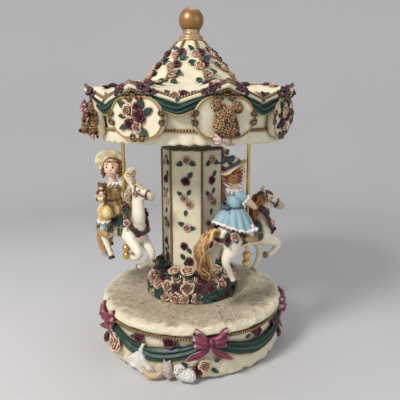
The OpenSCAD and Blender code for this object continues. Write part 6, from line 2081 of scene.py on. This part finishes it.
def build_movement():
    """Finishes for the musical movement, its spring and its winding key."""
    zinc = metal("Zinc plate", (0.5, 0.51, 0.53), 0.34, 0.2, 0.3)
    comb_steel = metal("Comb steel", (0.42, 0.43, 0.46), 0.2, 0.3)
    blued = metal("Blued spring", (0.1, 0.13, 0.22), 0.22, 0.15)
    for node in ("movement_bedplate", "barrel_bridge"):
        repaint(node, zinc)
    for node in ("cylinder_posts", "pinned_cylinder", "governor_wheel", "spring_barrel", "winding_key"):
        repaint(node, brass())
    for node in ("movement_screws", "ratchet_click", "key_arbor", "governor_fly", "drive_shaft"):
        repaint(node, steel())
    repaint("comb", comb_steel)
    repaint("mainspring", blued)
    repaint("governor_frame", moulded_plastic())


def build_hardware():
    """Finishes for the rods, their balls, the canopy hub and the column bush."""
    repaint("canopy_hub", steel())
    for node in ("horse_rods", "rod_balls", "column_bush"):
        repaint(node, brass())


def build_underside():
    """Finishes for the fibreboard plate, its screws, the felt feet and the canopy floor."""
    repaint("bottom_plate", board("Pressed board", (0.15, 0.095, 0.05), (0.23, 0.155, 0.09)))
    repaint("bottom_screws", steel())
    repaint("felt_feet", felt())
    repaint("canopy_floor", board("Painted board", (0.6, 0.54, 0.4), (0.7, 0.64, 0.5)))


# ---- Stage ----

def sweep_material():
    """Matt paper for the studio sweep."""
    def build(g):
        haze = g.ramp(g.noise(g.place(), 1.7, 2), 0.3, 0.7)
        return {"Base Color": g.mix(haze, (0.6, 0.6, 0.615), (0.63, 0.63, 0.645))}
    return surface("Studio paper", build, Roughness=0.95)


def build_sweep():
    """A round floor that curves up into the wall of the studio."""
    profile = [(0.0, 0.0), (0.3, 0.0), (0.62, 0.0)]
    profile += [(0.62 + 0.22 * math.sin(a), 0.22 * (1 - math.cos(a)))
                for a in np.linspace(0.08, math.pi / 2, 14)]
    profile += [(0.84, 0.6), (0.84, 1.3)]
    turn = spin(96)
    grid = np.array([xyz(max(r, 0.002) * np.cos(turn), max(r, 0.002) * np.sin(turn), 0 * turn + z)
                     for r, z in profile]) / MM
    model = Modeller()
    model.patch(grid, wrap_v=True)
    sweep = model.to_object("studio_sweep", sweep_material(), None)
    sweep.data.materials.append(sweep_material())
    return sweep


def add_light(name, place, target, size, power, colour):
    light = bpy.data.lights.new(name, "AREA")
    light.shape, light.size, light.energy, light.color = "DISK", size, power, colour
    made = bpy.data.objects.new(name, light)
    bpy.context.scene.collection.objects.link(made)
    made.location = place
    made.rotation_euler = (Vector(target) - Vector(place)).to_track_quat("-Z", "Y").to_euler()
    return made


def build_lights():
    """A large soft key light, a weak fill and an even pale surround."""
    middle = (0, 0, 0.15)
    add_light("Key light", (-0.46, -0.52, 0.74), middle, 0.24, 6.9, (1.0, 0.97, 0.92))
    add_light("Fill light", (0.66, -0.42, 0.36), middle, 0.5, 0.9, (0.94, 0.97, 1.0))
    add_light("Top light", (0.05, 0.25, 0.9), middle, 0.5, 1.3, (1.0, 0.99, 0.97))
    world = bpy.data.worlds.new("Studio")
    world.use_nodes = True
    world.node_tree.nodes["Background"].inputs["Color"].default_value = (0.8, 0.81, 0.84, 1)
    world.node_tree.nodes["Background"].inputs["Strength"].default_value = 0.24
    bpy.context.scene.world = world


def build_camera():
    """A camera in front of the object, a little above its middle."""
    lens = bpy.data.cameras.new("Camera")
    lens.sensor_width, lens.lens = 36, 38.97
    camera = bpy.data.objects.new("Camera", lens)
    bpy.context.scene.collection.objects.link(camera)
    camera.location = (0.008, -0.418, 0.2263)
    camera.rotation_euler = (math.radians(78.4), 0, 0)
    bpy.context.scene.camera = camera
    bpy.context.scene.view_settings.view_transform = "Standard"


# ---- Add-on ----

class CAROUSEL_OT_base(bpy.types.Operator):
    """Model the base wall, its cloth-covered deck and the rope around it"""
    bl_idname = "carousel.base"
    bl_label = "Base"

    def execute(self, context):
        build_base_wall()
        build_deck()
        build_base_rope()
        return {"FINISHED"}


class CAROUSEL_OT_base_trim(bpy.types.Operator):
    """Model the swags, bows, flowers and small figures on the base"""
    bl_idname = "carousel.base_trim"
    bl_label = "Base trim"

    def execute(self, context):
        build_base_swag()
        build_base_bows()
        build_base_flowers()
        build_base_figures()
        return {"FINISHED"}


class CAROUSEL_OT_heap(bpy.types.Operator):
    """Model the heap of roses on the deck"""
    bl_idname = "carousel.heap"
    bl_label = "Rose heap"

    def execute(self, context):
        build_heap()
        return {"FINISHED"}


class CAROUSEL_OT_column(bpy.types.Operator):
    """Model the six-sided column with its cap, ropes and sprigs"""
    bl_idname = "carousel.column"
    bl_label = "Column"

    def execute(self, context):
        build_column()
        build_column_flowers()
        return {"FINISHED"}


class CAROUSEL_OT_canopy(bpy.types.Operator):
    """Model the eight-sided roof, its wall and its ropes"""
    bl_idname = "carousel.canopy"
    bl_label = "Canopy"

    def execute(self, context):
        build_canopy_shell()
        build_canopy_ropes()
        return {"FINISHED"}


class CAROUSEL_OT_canopy_trim(bpy.types.Operator):
    """Model the swags, ribbons and flowers on the canopy"""
    bl_idname = "carousel.canopy_trim"
    bl_label = "Canopy trim"

    def execute(self, context):
        build_canopy_swag()
        build_canopy_ribbons()
        build_canopy_flowers()
        return {"FINISHED"}


class CAROUSEL_OT_medallions(bpy.types.Operator):
    """Model the oval plaques with their bears and bouquets"""
    bl_idname = "carousel.medallions"
    bl_label = "Medallions"

    def execute(self, context):
        build_medallions()
        build_bouquets()
        build_bears()
        return {"FINISHED"}


class CAROUSEL_OT_finial(bpy.types.Operator):
    """Model the turned finial"""
    bl_idname = "carousel.finial"
    bl_label = "Finial"

    def execute(self, context):
        build_finial()
        return {"FINISHED"}


class CAROUSEL_OT_horses(bpy.types.Operator):
    """Model the three leaping horses with their harness"""
    bl_idname = "carousel.horses"
    bl_label = "Horses"

    def execute(self, context):
        build_horses()
        build_harness()
        return {"FINISHED"}


class CAROUSEL_OT_riders(bpy.types.Operator):
    """Model the three riders with their hats, clothes and toy"""
    bl_idname = "carousel.riders"
    bl_label = "Riders"

    def execute(self, context):
        build_riders()
        return {"FINISHED"}


class CAROUSEL_OT_movement(bpy.types.Operator):
    """Give the metal, board and felt parts of the frame their finishes"""
    bl_idname = "carousel.movement"
    bl_label = "Movement and hardware"

    def execute(self, context):
        build_movement()
        build_hardware()
        build_underside()
        return {"FINISHED"}


class CAROUSEL_OT_stage(bpy.types.Operator):
    """Set up the studio sweep, lights and camera"""
    bl_idname = "carousel.stage"
    bl_label = "Stage"

    def execute(self, context):
        build_sweep()
        build_lights()
        build_camera()
        return {"FINISHED"}


STEPS = (
    CAROUSEL_OT_base,
    CAROUSEL_OT_base_trim,
    CAROUSEL_OT_heap,
    CAROUSEL_OT_column,
    CAROUSEL_OT_canopy,
    CAROUSEL_OT_canopy_trim,
    CAROUSEL_OT_medallions,
    CAROUSEL_OT_finial,
    CAROUSEL_OT_horses,
    CAROUSEL_OT_riders,
    CAROUSEL_OT_movement,
    CAROUSEL_OT_stage,
)


class CAROUSEL_PT_panel(bpy.types.Panel):
    """Colours, sizes and building steps of the carousel"""
    bl_idname, bl_label = "CAROUSEL_PT_panel", "Carousel"
    bl_space_type, bl_region_type, bl_category = "VIEW_3D", "UI", "Carousel"

    def draw(self, context):
        for title, group in (("Colours", context.scene.carousel_paints),
                             ("Sizes", context.scene.carousel_sizes)):
            box = self.layout.box()
            box.label(text=title)
            for key in type(group).__annotations__:
                box.prop(group, key)
        column = self.layout.column(align=True)
        for step in STEPS:
            column.operator(step.bl_idname)


CLASSES = (CarouselPaints, CarouselSizes, *STEPS, CAROUSEL_PT_panel)


def register():
    for item in CLASSES:
        bpy.utils.register_class(item)
    bpy.types.Scene.carousel_paints = bpy.props.PointerProperty(
        type=CarouselPaints, name="Paints", description="Colours of the carousel")
    bpy.types.Scene.carousel_sizes = bpy.props.PointerProperty(
        type=CarouselSizes, name="Sizes", description="Free sizes of the carousel")


def unregister():
    del bpy.types.Scene.carousel_paints
    del bpy.types.Scene.carousel_sizes
    for item in reversed(CLASSES):
        bpy.utils.unregister_class(item)


def main():
    register()
    build = bpy.ops.carousel
    build.base()
    build.base_trim()
    build.heap()
    build.column()
    build.canopy()
    build.canopy_trim()
    build.medallions()
    build.finial()
    build.horses()
    build.riders()
    build.movement()
    build.stage()


if __name__ == "__main__":
    main()
